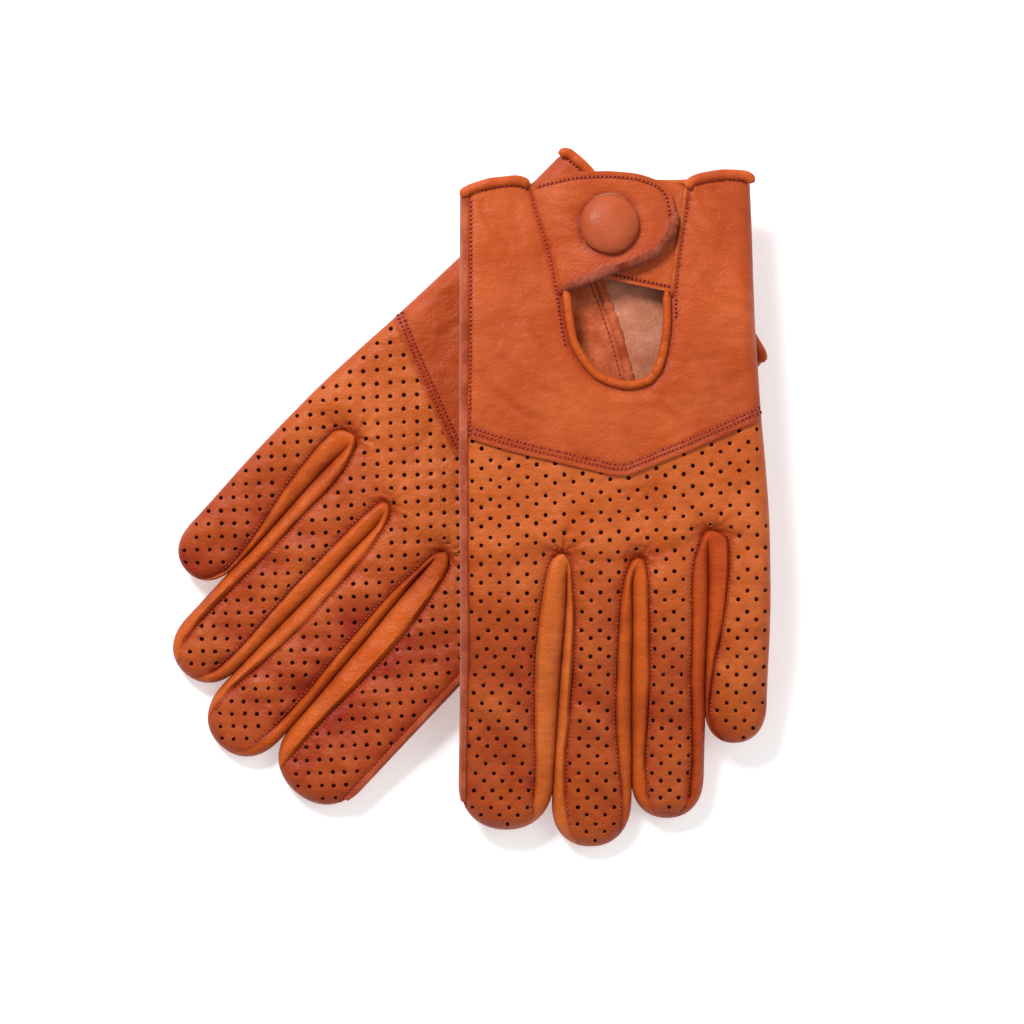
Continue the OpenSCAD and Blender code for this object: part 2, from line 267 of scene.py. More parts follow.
class Gap:
    """The curves of the gap between two neighbouring fingers."""

    def __init__(self, spec):
        self.top = spec["fold"][0][0]
        self.crotch = np.array([spec["left"][0][1], self.top])
        self.left, self.right = self.arched(spec["left"]), self.arched(spec["right"])
        self.fold = through(spec["fold"])

    def arched(self, points):
        """A seam that leaves the arch's top level, as x at y."""
        side = through([(math.sqrt(self.top - y), x) for y, x in points])
        return lambda y: side(np.sqrt(np.maximum(self.top - np.asarray(y, float), 0)))

    def heights(self, low, n):
        """Heights from the arch down to a low one, closest together at the arch."""
        return self.top + (low - self.top) * np.linspace(0, 1, n)**1.8


class Glove:
    """One glove: its frame in the pair, and the curves and surfaces of its leather."""

    def __init__(self, side):
        self.side = side
        self.flip = -1 if side == "right" else 1
        x_axis = -np.array(JOINTS[f"{side}_index_fold"]["axis"])
        z_axis = np.array(JOINTS[f"{side}_thumb_swing"]["axis"]) * -self.flip
        self.turn = np.column_stack([x_axis, np.cross(z_axis, x_axis), z_axis])
        root = np.array([THUMB_ROOT[0] * self.flip, THUMB_ROOT[1], -ARCH / 2])
        self.origin = np.array(JOINTS[f"{side}_thumb_swing"]["pos_m"]) / MM - self.turn @ root
        self.drop = TIP_DROP[side]
        self.seed = 1 if side == "left" else 5
        self.index_side, self.ridge_inner = through(INDEX_SIDE), through(RIDGE_INNER)
        self.little_side = through(LITTLE_SIDE)
        self.gaps = [Gap(spec) for spec in GAPS]
        self.v_edge = np.vstack([smooth_path(V_LEFT, 1.0), smooth_path(V_RIGHT, 1.0)[1:]])
        self.keyhole = smooth_path(KEYHOLE, 1.0)
        self.panel_left, self.panel_right = smooth_path(PANEL_LEFT, 1.0), smooth_path(PANEL_RIGHT, 1.0)
        self.knuckles = through(KNUCKLES)
        self.finger_tone = through(FINGER_TONE[side])
        self.creases = [smooth_path(points, 1.0) for points in CREASES]
        self.split_y = [self.between_rows(TIPS[i][0], y + 9) for i, y in enumerate(FOLD_Y)]
        self.rims = self.silhouette()
        self.seams = [beside(s, g.heights(-215, 60)) for g in self.gaps for s in (g.left, g.right)]

    def world(self, points):
        """Points of the glove's frame, carried to their place in metres."""
        p = np.array(points, float).reshape(-1, 3) * [self.flip, 1, 1]
        return (p @ self.turn.T + self.origin) * MM

    def place(self, x, y, z):
        return Vector(self.world([[x, y, z]])[0])

    def hole(self, column, row, half):
        """The centre of a punched hole, where the leather's stretch takes it."""
        x = FIRST_HOLE_X + (column + half / 2) * HOLE_PITCH
        y = -103.1 - 6.8 * row + 0.0235 * row * row - half * ROW_SHIFT[self.side]
        on_hand = min(max((y + 150) / 45, 0), 1)
        y += ROW_SLOPE[self.side] * (x + 31) * on_hand
        x += 0.07 * min(y + 149, 0) * (x < -22)
        return x, y

    def between_rows(self, x, y):
        """The nearest line across a finger that meets no holes."""
        column = round((x - FIRST_HOLE_X) / HOLE_PITCH)
        lines = [(self.hole(column, k, 1)[1] + self.hole(column, k + 1, 0)[1]) / 2 for k in range(14)]
        return min(lines, key=lambda line: abs(line - y))

    def side_x(self, i, y, right):
        """The edge of a finger at y, rounded off at the tip."""
        if right:
            edge = self.little_side(y) if i == 3 else self.gaps[i].fold(y) + 0.15
        else:
            edge = self.index_side(y) if i == 0 else self.gaps[i - 1].fold(y) - 0.15
        tip_x, tip_y = TIPS[i]
        u = np.clip((tip_y + TIP_LENGTH[i] - np.asarray(y)) / TIP_LENGTH[i], 0, 1)
        return tip_x + (edge - tip_x) * np.clip(1 - u**2.5, 0, 1)**0.47

    def seam_x(self, i, y, right):
        """The edge of a finger's perforated back at y."""
        edge = self.side_x(i, y, right)
        if right:
            return edge if i == 3 else np.minimum(self.gaps[i].left(y), edge)
        return np.maximum(self.ridge_inner(y) if i == 0 else self.gaps[i - 1].right(y), edge)

    def across(self, i, edge):
        """Points from the left to the right of a finger, on the line where its own pieces begin."""
        y = self.split_y[i]
        left, right = float(edge(i, y, False)), float(edge(i, y, True))
        x = np.linspace(left, right, int((right - left) / 1.2) + 2)
        return [(v, y) for v in x]

    def within(self, path, from_ridge, from_side):
        """The part of a path that is clear of the ridge and of the little finger's side."""
        x, y = path.T
        return path[(x > self.ridge_inner(y) + from_ridge) & (x < self.little_side(y) - from_side)]

    def down(self, i, top, step=1.4):
        """Heights along a finger from a line to its tip, closer together at the tip."""
        start = TIPS[i][1] + TIP_LENGTH[i]
        straight = np.linspace(top, start, max(2, int((top - start) / step)))[:-1]
        bend = np.linspace(0, math.pi / 2, 16)
        return np.concatenate([straight, start - TIP_LENGTH[i] * np.sin(bend)])

    def around(self, i, edge, y):
        """Down the left edge of a finger, round its tip and up its right edge."""
        left, right = (np.column_stack([edge(i, y, r), y]) for r in (False, True))
        return np.vstack([left, right[::-1][1:]])

    def silhouette(self):
        """The free edges of the glove, where the leather turns down."""
        starts = [tip[1] + length for tip, length in zip(TIPS, TIP_LENGTH)]
        rims = [beside(self.index_side, np.linspace(4, starts[0], 80)),
                beside(self.little_side, np.linspace(4, starts[3], 70))]
        return rims + [self.around(i, self.side_x, self.down(i, starts[i] + 0.5)) for i in range(4)]

    def base(self, y):
        """The line of the palm's underside, which droops to the table."""
        y = np.asarray(y, float)
        return (-ARCH / CUFF_KNEE * ramp(y + CUFF_KNEE, 9)
                - self.drop / (TIP_Y - KNUCKLE_KNEE) * ramp(-y - KNUCKLE_KNEE, 14))

    def rim_distance(self, xy):
        return nearest(xy, self.rims)

    def wrinkles(self, x, y):
        """Soft, shallow unevenness of leather that has been worn, in slanting folds on the fingers."""
        s = self.seed
        bend = 3 * wobble(x, y, 9, s + 4)
        soft = 0.55 * wobble(x, y, 24, s) + 0.34 * wobble(x, y, 10, s + 1) + 0.12 * wobble(x, y, 4.5, s + 11)
        soft -= 0.28 * bell(wobble(x + bend, y * 1.7, 10, s + 2), 0.13)
        along, over = 0.77 * x - 0.64 * y, 0.64 * x + 0.77 * y
        fingers = np.clip((-y - 138) / 25, 0, 1)
        return soft + fingers * 0.85 * wobble(along / 2.4 + 0.3 * bend, over, 6.0, s + 7)

    def rays(self, x, y):
        """Gathers that radiate from each crotch into the back of the hand, deepest at the first."""
        total = np.zeros_like(x)
        for k, gap in enumerate(self.gaps):
            dx, dy = x - gap.crotch[0], y - gap.crotch[1]
            r, angle = np.hypot(dx, dy), np.arctan2(dx, dy)
            waves = np.cos(angle * (8.5 + k) + 2 * k + self.seed) + 0.5 * np.cos(angle * 15 + k)
            above = 1 / (1 + np.exp(-(dy + 1.0) / 1.2))
            total += (1, 0.6, 0.75)[k] * waves * np.exp(-r / 7) * np.clip(r / 2.0, 0, 1) * above
        return total

    def relief(self, x, y):
        """Everything that shapes the back of the hand beyond its plain puffed form."""
        z = self.wrinkles(x, y) + 0.6 * self.rays(x, y)
        for gap in self.gaps:
            dx, dy = x - gap.crotch[0], y - gap.crotch[1]
            z -= 0.9 * np.exp(-(dx * dx + dy * dy) / 28) * (dy > -4)
        d = y - self.knuckles(x)
        return z + 0.45 * bell(d - 5, 4.5) - 0.5 * bell(d + 1.5, 2.6)

    def back(self, x, y, plain=False):
        """The outer surface of the back of the hand and the fingers."""
        xy = np.column_stack([x, y])
        d = self.rim_distance(xy)
        z = self.base(y) + MIDDLE + (TOP - MIDDLE) * rounded(d, 6.5)
        if plain:
            return z
        gap = nearest(xy, self.seams)
        fade = np.clip(d / 3, 0, 1)
        z += fade * self.relief(x, y)
        pucker = np.sin(2 * math.pi * y / 4.3 + x) + 0.6 * np.sin(2 * math.pi * y / 6.9 - x / 2)
        z += 0.2 * pucker * bell(gap - 2.0, 1.5) * fade
        z -= 0.75 * bell(gap, 0.8) + 1.1 * (1 - np.clip(gap / 6, 0, 1))**2 * fade
        return z

    def yoke(self, x, y):
        """The outer surface of the smooth yoke, which laps over the perforated back."""
        xy = np.column_stack([x, y])
        d = self.rim_distance(xy)
        z = self.base(y) + MIDDLE + (YOKE_TOP - MIDDLE) * rounded(d, 6.0)
        z += np.clip(d / 3, 0, 1) * self.wrinkles(x, y)
        v = distance_to(xy, self.v_edge)
        pleats = np.cos(x * 2.1 + 2.5 * wobble(x, y, 11, self.seed + 12))
        z += 0.13 * pleats * bell(v - 6.5, 3.5)
        z += 0.22 * bell(v - 0.8, 0.6) + 0.16 * bell(v - 2.8, 0.6)
        z -= 0.34 * bell(v - 1.9, 0.5) + 0.34 * bell(v - 3.6, 0.5)
        for path in (self.panel_left, self.panel_right):
            w = distance_to(xy, path)
            z += 0.7 * bell(w - 0.6, 0.9) - 0.5 * bell(w - 2.0, 0.6)
        for path in self.creases:
            w = distance_to(xy, path)
            z += 0.16 * bell(w - 2.2, 1.4) - 0.3 * bell(w, 1.3)
        k = distance_to(xy, self.keyhole)
        return z - 0.9 * bell(k, 2.4)

    def palm(self, x, y, edge):
        """The underside, given each point's distance from its piece's own free edges."""
        return self.base(y) + MIDDLE * (1 - rounded(edge, 6)) + 0.1 * wobble(x, y, 12, self.seed + 9)


# ---- Meshes ----

def build(name, verts, faces, slots, face_slots=None, tone=None):
    """A smooth-shaded object from world points, with its materials and its colour tone."""
    mesh = bpy.data.meshes.new(name)
    mesh.from_pydata([tuple(v) for v in verts], [], [tuple(int(i) for i in f) for f in faces])
    for material in slots:
        mesh.materials.append(material)
    if face_slots is not None:
        mesh.polygons.foreach_set("material_index", np.asarray(face_slots, np.int32))
    if tone is not None:
        mesh.attributes.new("tone", "FLOAT", "POINT").data.foreach_set("value", np.asarray(tone, np.float32))
    mesh.polygons.foreach_set("use_smooth", np.ones(len(mesh.polygons), bool))
    mesh.set_sharp_from_angle(angle=math.radians(48))
    mesh.validate()
    mesh.update()
    obj = bpy.data.objects.new(name, mesh)
    bpy.context.collection.objects.link(obj)
    return obj


def normals_of(points, faces):
    """Unit normals at the points, from the faces round them."""
    n = np.zeros_like(points)
    for tri in [faces[:, [0, k, k + 1]] for k in range(1, faces.shape[1] - 1)]:
        a, b, c = points[tri[:, 0]], points[tri[:, 1]], points[tri[:, 2]]
        normal = np.cross(b - a, c - a)
        for k in range(3):
            np.add.at(n, tri[:, k], normal)
    return n / np.maximum(np.linalg.norm(n, axis=1), 1e-9)[:, None]


def facing(glove, faces):
    """The faces, turned over on the mirrored glove."""
    return [f[::-1] for f in faces] if glove.flip < 0 else faces


def leather_shell(glove, name, points, faces, thick, slots, tone=None, rim_slot=0):
    """A closed sheet of leather: an outer face, the flesh side a thickness below it, and its edges."""
    points = np.column_stack(points)
    inner = points - thick * normals_of(points, faces)
    n = len(points)
    edges = {(a, b): None for f in faces for a, b in zip(f, np.roll(f, -1))}
    quads = [(b, a, a + n, b + n) for a, b in edges if (b, a) not in edges]
    all_faces = [tuple(f) for f in faces] + [tuple(f[::-1] + n) for f in faces] + quads
    where = [0] * len(faces) + [min(1, len(slots) - 1)] * len(faces) + [rim_slot] * len(quads)
    both = None if tone is None else np.tile(np.clip(tone, 0, 1), 2)
    corners = glove.world(np.vstack([points, inner]))
    piece = build(name, corners, facing(glove, all_faces), slots, where, both)
    return piece


def edge_rings(outline, insets, clear=0.0):
    """Rows of points inside an outline, at some distances from its edge."""
    loop = closed(outline)
    rings = np.vstack([shifted(loop, inset)[:-1] for inset in insets])
    rings = rings[is_inside(rings, outline)]
    return rings[distance_to(rings, loop) >= clear]


def triangulated(outline, holes, spacing, keep_off, extra=()):
    """Triangles that fill an outline, less its holes, with free points inside."""
    lo, hi = outline.min(0), outline.max(0)
    ys = np.arange(lo[1], hi[1], spacing * 0.87)
    gx, gy = np.meshgrid(np.arange(lo[0], hi[0], spacing), ys)
    gx = gx + (np.arange(len(ys)) % 2)[:, None] * spacing / 2
    free = np.column_stack([gx.ravel(), gy.ravel()])
    free = free[is_inside(free, outline)]
    free = free[distance_to(free, closed(outline)) > keep_off]
    centres = [hole.mean(0) for hole in holes]
    free = free[clear_of(free, centres, HOLE_R * 2.3)]
    verts, edges = [], []
    for loop in [outline] + list(holes):
        first, n = len(verts), len(loop)
        verts += [Vector(p) for p in loop]
        edges += [(first + i, first + (i + 1) % n) for i in range(n)]
    verts += [Vector(p) for p in free] + [Vector(p) for p in extra]
    out, _, tris, _, _, _ = delaunay_2d_cdt(verts, edges, [], 2, 1e-4)
    xy, tris = np.array([tuple(p) for p in out]), np.array(tris)
    a, b, c = (xy[tris[:, k]] for k in range(3))
    area = (b[:, 0] - a[:, 0]) * (c[:, 1] - a[:, 1]) - (b[:, 1] - a[:, 1]) * (c[:, 0] - a[:, 0])
    tris[area < 0] = tris[area < 0][:, ::-1]
    keep = (np.abs(area) > 1e-9) & clear_of((a + b + c) / 3, centres, HOLE_R * 0.86)
    return xy, tris[keep]


def grid_faces(rows, columns, closed=False):
    """Quads of a grid of points, with its last column joined to its first if it is closed."""
    span = columns if closed else columns - 1
    r, c = np.meshgrid(np.arange(rows - 1), np.arange(span), indexing="ij")
    a = (r * columns + c).ravel()
    b = (r * columns + (c + 1) % columns).ravel()
    return np.column_stack([a, a + columns, b + columns, b])


def capped(rows, columns):
    """The faces of a closed roll of rings, with a face over each end."""
    n = rows * columns
    ends = [tuple(range(columns)), tuple(range(n - columns, n))[::-1]]
    return [tuple(f) for f in grid_faces(rows, columns, closed=True)] + ends


def tube(glove, name, centre, radius, slots, sides=12, flat=1.0, tone=None):
    """A closed roll along a 3-D path, with a radius for each point and a flattened section."""
    d = np.gradient(centre, axis=0)
    d /= np.linalg.norm(d, axis=1)[:, None]
    side = np.cross(d, [0, 0, 1.0])
    side /= np.linalg.norm(side, axis=1)[:, None]
    up = np.cross(side, d)
    t = np.linspace(0, 2 * math.pi, sides, endpoint=False)
    ring = side[:, None] * np.cos(t)[None, :, None] + flat * up[:, None] * np.sin(t)[None, :, None]
    points = (centre[:, None] + radius[:, None, None] * ring).reshape(-1, 3)
    values = None if tone is None else np.repeat(np.clip(tone, 0, 1), sides)
    piece = build(name, glove.world(points), facing(glove, capped(len(centre), sides)), slots, tone=values)
    return piece


def round_ends(n, radius, ease):
    """A radius along a roll that closes at both ends."""
    s = np.minimum(np.arange(n), np.arange(n)[::-1]) / ease
    return radius * (0.12 + 0.88 * np.sqrt(np.clip(1 - (1 - np.clip(s, 0, 1))**2, 0, 1)))


# ---- Materials ----

class Look:
    """A new procedural material, with short ways to add its nodes."""

    def __init__(self, name):
        self.material = bpy.data.materials.new(name)
        self.material.use_nodes = True
        self.nodes, self.link = self.material.node_tree.nodes, self.material.node_tree.links.new
        self.coords = self.nodes.new("ShaderNodeTexCoord").outputs["Object"]

    def give(self, socket, value):
        """A socket's value: a number, a colour or another node's output."""
        if isinstance(value, bpy.types.NodeSocket):
            self.link(value, socket)
        else:
            socket.default_value = value

    def node(self, kind, values):
        node = self.nodes.new(kind)
        for socket, value in values.items():
            self.give(node.inputs[socket], value)
        return node

    def mix(self, fac, a, b):
        mix = self.node("ShaderNodeMix", {"Factor": fac})
        mix.data_type = "RGBA"
        for name, value in (("A", a), ("B", b)):
            self.give(next(s for s in mix.inputs if s.name == name and s.type == "RGBA"), value)
        return next(s for s in mix.outputs if s.type == "RGBA")

    def noise(self, scale, detail, stretch=(1.0, 1.0, 1.0), kind="FBM"):
        place = self.node("ShaderNodeMapping", {"Vector": self.coords, "Scale": stretch})
        values = {"Vector": place.outputs["Vector"], "Scale": scale, "Detail": detail}
        noise = self.node("ShaderNodeTexNoise", values)
        noise.noise_type = kind
        return noise.outputs["Fac"]

    def spread(self, value, low, high, to_low=0.0, to_high=1.0):
        """A value mapped from one range to another, and held inside it."""
        values = {"Value": value, "From Min": low, "From Max": high, "To Min": to_low, "To Max": to_high}
        return self.node("ShaderNodeMapRange", values).outputs["Result"]

    def bump(self, height, strength, distance, under=None):
        values = {"Strength": strength, "Distance": distance, "Height": height}
        if under is not None:
            values["Normal"] = under
        return self.node("ShaderNodeBump", values).outputs["Normal"]

    def surface(self, colour, rough, normal, **values):
        """The finished material. The names of further values are sockets, with _ for a space."""
        shader = self.nodes["Principled BSDF"].inputs
        values.update(Base_Color=colour, Roughness=rough)
        for name, value in values.items():
            self.give(shader[name.replace("_", " ")], value)
        if normal is not None:
            self.link(normal, shader["Normal"])
        return self.material


def leather_material(name, light, dark, deep, rough=0.46, grain=0.35):
    """Dyed nappa: blotchy colour, pores and fine creases, redder and darker where the tone attribute says:
    mostly painted shade in its dips, grooves and turned-down edges, partly patchy colour.
    """
    look = Look(name)
    colour = look.mix(look.spread(look.noise(55, 4), 0.32, 0.68), light, dark)
    colour = look.mix(look.spread(look.noise(420, 5), 0.35, 0.75, 0.0, 0.35), colour, dark)
    # The tone attribute mixes in the deep colour: painted shade in dips, grooves and turned-down edges, and
    # some patchy colour
    painted_shade_tone = look.nodes.new("ShaderNodeAttribute")
    painted_shade_tone.attribute_name = "tone"
    colour = look.mix(look.spread(painted_shade_tone.outputs["Fac"], 0.0, 1.0), colour, deep)
    pores = look.node("ShaderNodeTexVoronoi", {"Vector": look.coords, "Scale": 1300})
    normal = look.bump(pores.outputs["Distance"], grain, 0.0003)
    normal = look.bump(look.noise(900, 4), grain, 0.0004, normal)
    normal = look.bump(look.noise(120, 6, (1.0, 1.5, 1.0)), grain, 0.0028, normal)
    lines = look.spread(look.noise(150, 4, kind="RIDGED_MULTIFRACTAL"), 1.5, 2.4, 1.0, 0.0)
    normal = look.bump(lines, grain, 0.0007, normal)
    shine = look.spread(look.noise(300, 3), 0.3, 0.7, rough - 0.06, rough + 0.1)
    return look.surface(colour, shine, normal,
                        Specular_IOR_Level=0.2, Sheen_Weight=0.02, Sheen_Roughness=0.5)


def suede_material(name, light, dark):
    """The napped flesh side: matt, with a streaky pile."""
    look = Look(name)
    pile = look.noise(900, 6, (1.0, 1.0, 0.6))
    colour = look.mix(look.spread(look.noise(120, 4), 0.35, 0.65), light, dark)
    colour = look.mix(look.spread(pile, 0.4, 0.8, 0.0, 0.6), colour, dark)
    return look.surface(colour, look.spread(pile, 0.2, 0.8, 0.82, 0.98), look.bump(pile, 0.7, 0.0005),
                        Specular_IOR_Level=0.15, Sheen_Weight=0.2, Sheen_Roughness=0.4)


def thread_material(name, light, dark, rough):
    look = Look(name)
    twist = look.noise(2200, 2, (1.0, 0.4, 1.0))
    colour = look.mix(look.spread(twist, 0.35, 0.65), light, dark)
    return look.surface(colour, rough, look.bump(twist, 0.5, 0.0002))


def metal_material(name, light, dark):
    look = Look(name)
    brushed = look.noise(1400, 3, (1.0, 0.08, 1.0))
    rough = look.spread(brushed, 0.3, 0.7, 0.24, 0.4)
    colour = look.mix(brushed, light, dark)
    return look.surface(colour, rough, look.bump(brushed, 0.15, 0.0001), Metallic=1.0)


def floor_material():
    """Pale paper that gives back a little light, so that the shadows on it stay soft."""
    look = Look("floor")
    colour = look.mix(look.noise(60, 4), (0.93, 0.93, 0.935, 1), (0.91, 0.91, 0.915, 1))
    return look.surface(colour, 0.9, None, Emission_Color=(1, 1, 1, 1), Emission_Strength=0.34,
                        Specular_IOR_Level=0.1)


LIGHT_LEVEL, GLARE = 1.16, 0.022


def seen(r, g, b):
    """The surface colour that shows as these 0 to 255 screen values under this scene's light."""
    def one(c):
        c /= 255
        shown = c / 12.92 if c <= 0.04045 else ((c + 0.055) / 1.055)**2.4
        return max((shown - GLARE) / LIGHT_LEVEL, 0.0015)
    return (one(r), one(g), one(b), 1.0)


SMOOTH = leather_material("smooth_leather", seen(209, 104, 60), seen(190, 86, 44), seen(134, 44, 18), 0.48)
PUNCHED = leather_material("punched_leather", seen(208, 110, 62), seen(188, 90, 46), seen(150, 56, 14))
PALE = leather_material("pale_leather", seen(218, 116, 62), seen(202, 100, 50), seen(118, 42, 20), 0.48)
STRIP = leather_material("strip_leather", seen(210, 104, 52), seen(192, 86, 40), seen(112, 36, 16))
DEEP = leather_material("deep_leather", seen(198, 90, 46), seen(180, 74, 36), seen(100, 32, 16))
DOME = leather_material("dome_leather", seen(192, 98, 66), seen(176, 84, 54), seen(128, 44, 22), 0.4, 0.2)
SUEDE = suede_material("suede", seen(196, 104, 76), seen(158, 72, 50))
NAP = suede_material("napped_edge", seen(170, 94, 74), seen(112, 50, 38))
RAW = suede_material("raw_edge", seen(190, 108, 78), seen(158, 78, 52))
LINING = suede_material("lining", seen(214, 116, 82), seen(164, 76, 50))
LIGHT_LINING = suede_material("light_lining", seen(212, 146, 120), seen(182, 112, 86))
THREAD = thread_material("thread", seen(194, 84, 44), seen(156, 58, 28), 0.7)
# Painted shade: a dark colour for the discs that stand in for the needle holes' shaded recesses
NEEDLE_HOLE_SHADE = thread_material("needle_hole_shade", seen(118, 36, 12), seen(84, 24, 8), 1.0)
BRASS = metal_material("brass", (0.72, 0.55, 0.32, 1), (0.5, 0.36, 0.2, 1))


# ---- Stitching ----

# The rings of a stitch's bar: how far along the pitch, how high, how wide
BAR_SECTIONS = [(-0.34, -0.14, 0.6), (-0.15, 0.10, 1.0), (0.15, 0.10, 1.0), (0.34, -0.14, 0.6)]
BAR_FACES = capped(len(BAR_SECTIONS), 5)


def stitch_row(verts, faces, slots, path, height, pitch, size):
    """Add a row of stitches along a path: each is a small arched bar between two needle holes, and each hole
    is a small dark cone of painted shade.
    """
    path = respace(np.asarray(path, float), pitch)
    d = np.gradient(path, axis=0)
    d /= np.linalg.norm(d, axis=1)[:, None]
    z = height(path[:, 0], path[:, 1])
    dz = np.gradient(z) / pitch
    for p, t, level, slope in zip(path, d, z, dz):
        ahead = np.array([t[0], t[1], slope])
        across = np.array([-t[1], t[0], 0.0])
        centre = np.array([p[0], p[1], level])
        first = len(verts)
        for s, lift, wide in BAR_SECTIONS:
            at = centre + ahead * s * pitch + [0, 0, lift]
            for angle in (18, 90, 162, 234, 306):
                a = math.radians(angle)
                out = across * math.cos(a) + np.array([0, 0, 0.8 * math.sin(a)])
                verts.append(at + 0.36 * size * wide * out)
        faces += [tuple(first + i for i in face) for face in BAR_FACES]
        slots += [0] * len(BAR_FACES)
        # The needle hole: a small dark cone, painted shade where the hole's recess would be
        first = len(verts)
        hole = centre + ahead * pitch * 0.5
        for c in range(7):
            a = math.radians(360 / 7 * c)
            reach = 0.5 * across * math.cos(a) + 0.42 * ahead * math.sin(a)
            verts.append(hole + size * reach + [0, 0, -0.02])
        verts.append(hole + [0, 0, 0.07])
        faces += [(first + (c + 1) % 7, first + c, first + 7) for c in range(7)]
        slots += [1] * 7


def stitching(glove, name, rows, size=1.0):
    """One object of several rows of stitches, each a (path, height function, pitch) row."""
    verts, faces, slots = [], [], []
    for path, height, pitch in rows:
        stitch_row(verts, faces, slots, path, height, pitch, size)
    obj = build(name, glove.world(np.array(verts)), facing(glove, faces), [THREAD, NEEDLE_HOLE_SHADE], slots)
    return obj


# ---- Perforated back ----

def hole_centres(glove):
    """The lattice of punched holes over the whole back, drawn aside by the crotches' gathers."""
    p = np.array([glove.hole(column, row, half)
                  for row in range(-4, 21) for half in (0, 1) for column in range(-5, 15)])
    for gap in glove.gaps:
        away = p - gap.crotch
        r = np.linalg.norm(away, axis=1)[:, None]
        p = p + away / np.maximum(r, 0.1) * np.where(away[:, 1:2] > -3, 1.3 * np.exp(-r / 7), 0)
    return p


def punched(outline, centres):
    """Hole outlines that lie wholly inside an outline, and rings of points round them."""
    inside = centres[is_inside(centres, outline)]
    clear = distance_to(inside, closed(outline)) > HOLE_R + 0.42
    t = np.linspace(0, 2 * math.pi, 10, endpoint=False)
    holes, rims = [], []
    for k, c in enumerate(inside[clear]):
        grow = 1 + 0.09 * math.sin(12.9 * k)
        lean = 0.10 * math.sin(7.3 * k + 1)
        ring = np.column_stack([np.cos(t) * (1 + lean), np.sin(t) * (1 - lean)])
        holes.append(c + HOLE_R * grow * ring)
        rims.append(c + (HOLE_R * grow + 0.36) * ring)
    return holes, np.vstack(rims + [np.empty((0, 2))])


def back_shade_and_patches(glove, xy):
    """How dark the back's colour is: painted shade in the seam grooves, along the rims where the leather
    turns down, in the dips of its relief and in the troughs of the gathers, lighter on the relief's crests,
    and darker in patches on the fingers.
    """
    x, y = xy[:, 0], xy[:, 1]
    gap = nearest(xy, glove.seams)
    patch = 1 + 0.3 * wobble(x, y, 14, glove.seed + 20) + 0.2 * wobble(x, y, 5, glove.seed + 22)
    fingers = np.clip((-y - 122) / 38, 0, 1)
    # Painted shade in the seam grooves and along the rims where the leather turns down
    tone = 0.42 * np.exp(-gap / 1.3) + 0.35 * np.exp(-glove.rim_distance(xy) / 2.4)
    # Darker patches on the fingers; painted shade in the relief's dips and painted highlight on its crests
    tone += fingers * glove.finger_tone(x) * patch - 0.21 * glove.relief(x, y)
    tone += 0.35 * np.clip(-glove.rays(x, y), 0, 1)
    return np.clip(tone + 0.08 * wobble(x, y, 4, glove.seed + 21), 0, 1)


def back_piece(glove, name, outline, centres):
    """A piece of the perforated back, from its flat outline."""
    holes, rims = punched(outline, centres)
    free = [edge_rings(outline, (0.35, 1.0))]
    gx, gy = np.meshgrid(np.arange(-11, 12, 1.0), np.arange(-4, 12, 1.0))
    for gap in glove.gaps:
        near = gap.crotch + np.column_stack([gx.ravel(), gy.ravel()])
        near = near[is_inside(near, outline)]
        free.append(near[distance_to(near, closed(outline)) > 1.3])
    free = np.vstack(free + [rims])
    free = free[is_inside(free, outline)]
    free = free[clear_of(free, [hole.mean(0) for hole in holes], HOLE_R + 0.25)]
    xy, tris = triangulated(outline, holes, 1.8, 1.5, free)
    x, y = xy[:, 0], xy[:, 1]
    z = glove.back(x, y)
    for hole in holes:
        near = np.hypot(x - hole[:, 0].mean(), y - hole[:, 1].mean())
        z = z - 0.28 * np.exp(-(near / (HOLE_R + 0.12))**6)
    return leather_shell(glove, name, (x, y, z), tris, LEATHER, [PUNCHED, LINING, RAW],
                         back_shade_and_patches(glove, xy), rim_slot=2)


def hand_back_outline(glove):
    """The perforated back of the hand, from under the yoke to the split of each finger."""
    parts = []
    for i, low in enumerate(glove.split_y):
        if i > 0:
            gap = glove.gaps[i - 1]
            parts.append(beside(gap.right, gap.heights(low, 26)[1:-1]))
        parts.append(glove.across(i, glove.seam_x))
        if i < 3:
            gap = glove.gaps[i]
            parts += [beside(gap.left, gap.heights(low, 26)[1:-1][::-1]), [gap.crotch]]
    parts.append(beside(glove.little_side, np.arange(glove.split_y[3] + 2, -80, 2.0)))
    parts.append(glove.within(glove.v_edge[::-1] + [0, 5.0], 0.5, 0.5)[::2])
    parts.append(beside(glove.ridge_inner, np.arange(-88, glove.split_y[0] + 1, -2.0)))
    return np.vstack(parts)


def finger_outline(glove, i, edge, y):
    """The flat outline of a finger's own piece, from its split round its tip."""
    loop = np.vstack([glove.around(i, edge, y), glove.across(i, edge)[::-1][1:-1]])
    keep = np.concatenate([[True], np.hypot(*np.diff(loop, axis=0).T) > 0.05])
    return loop[keep]


# ---- The strips between the fingers ----

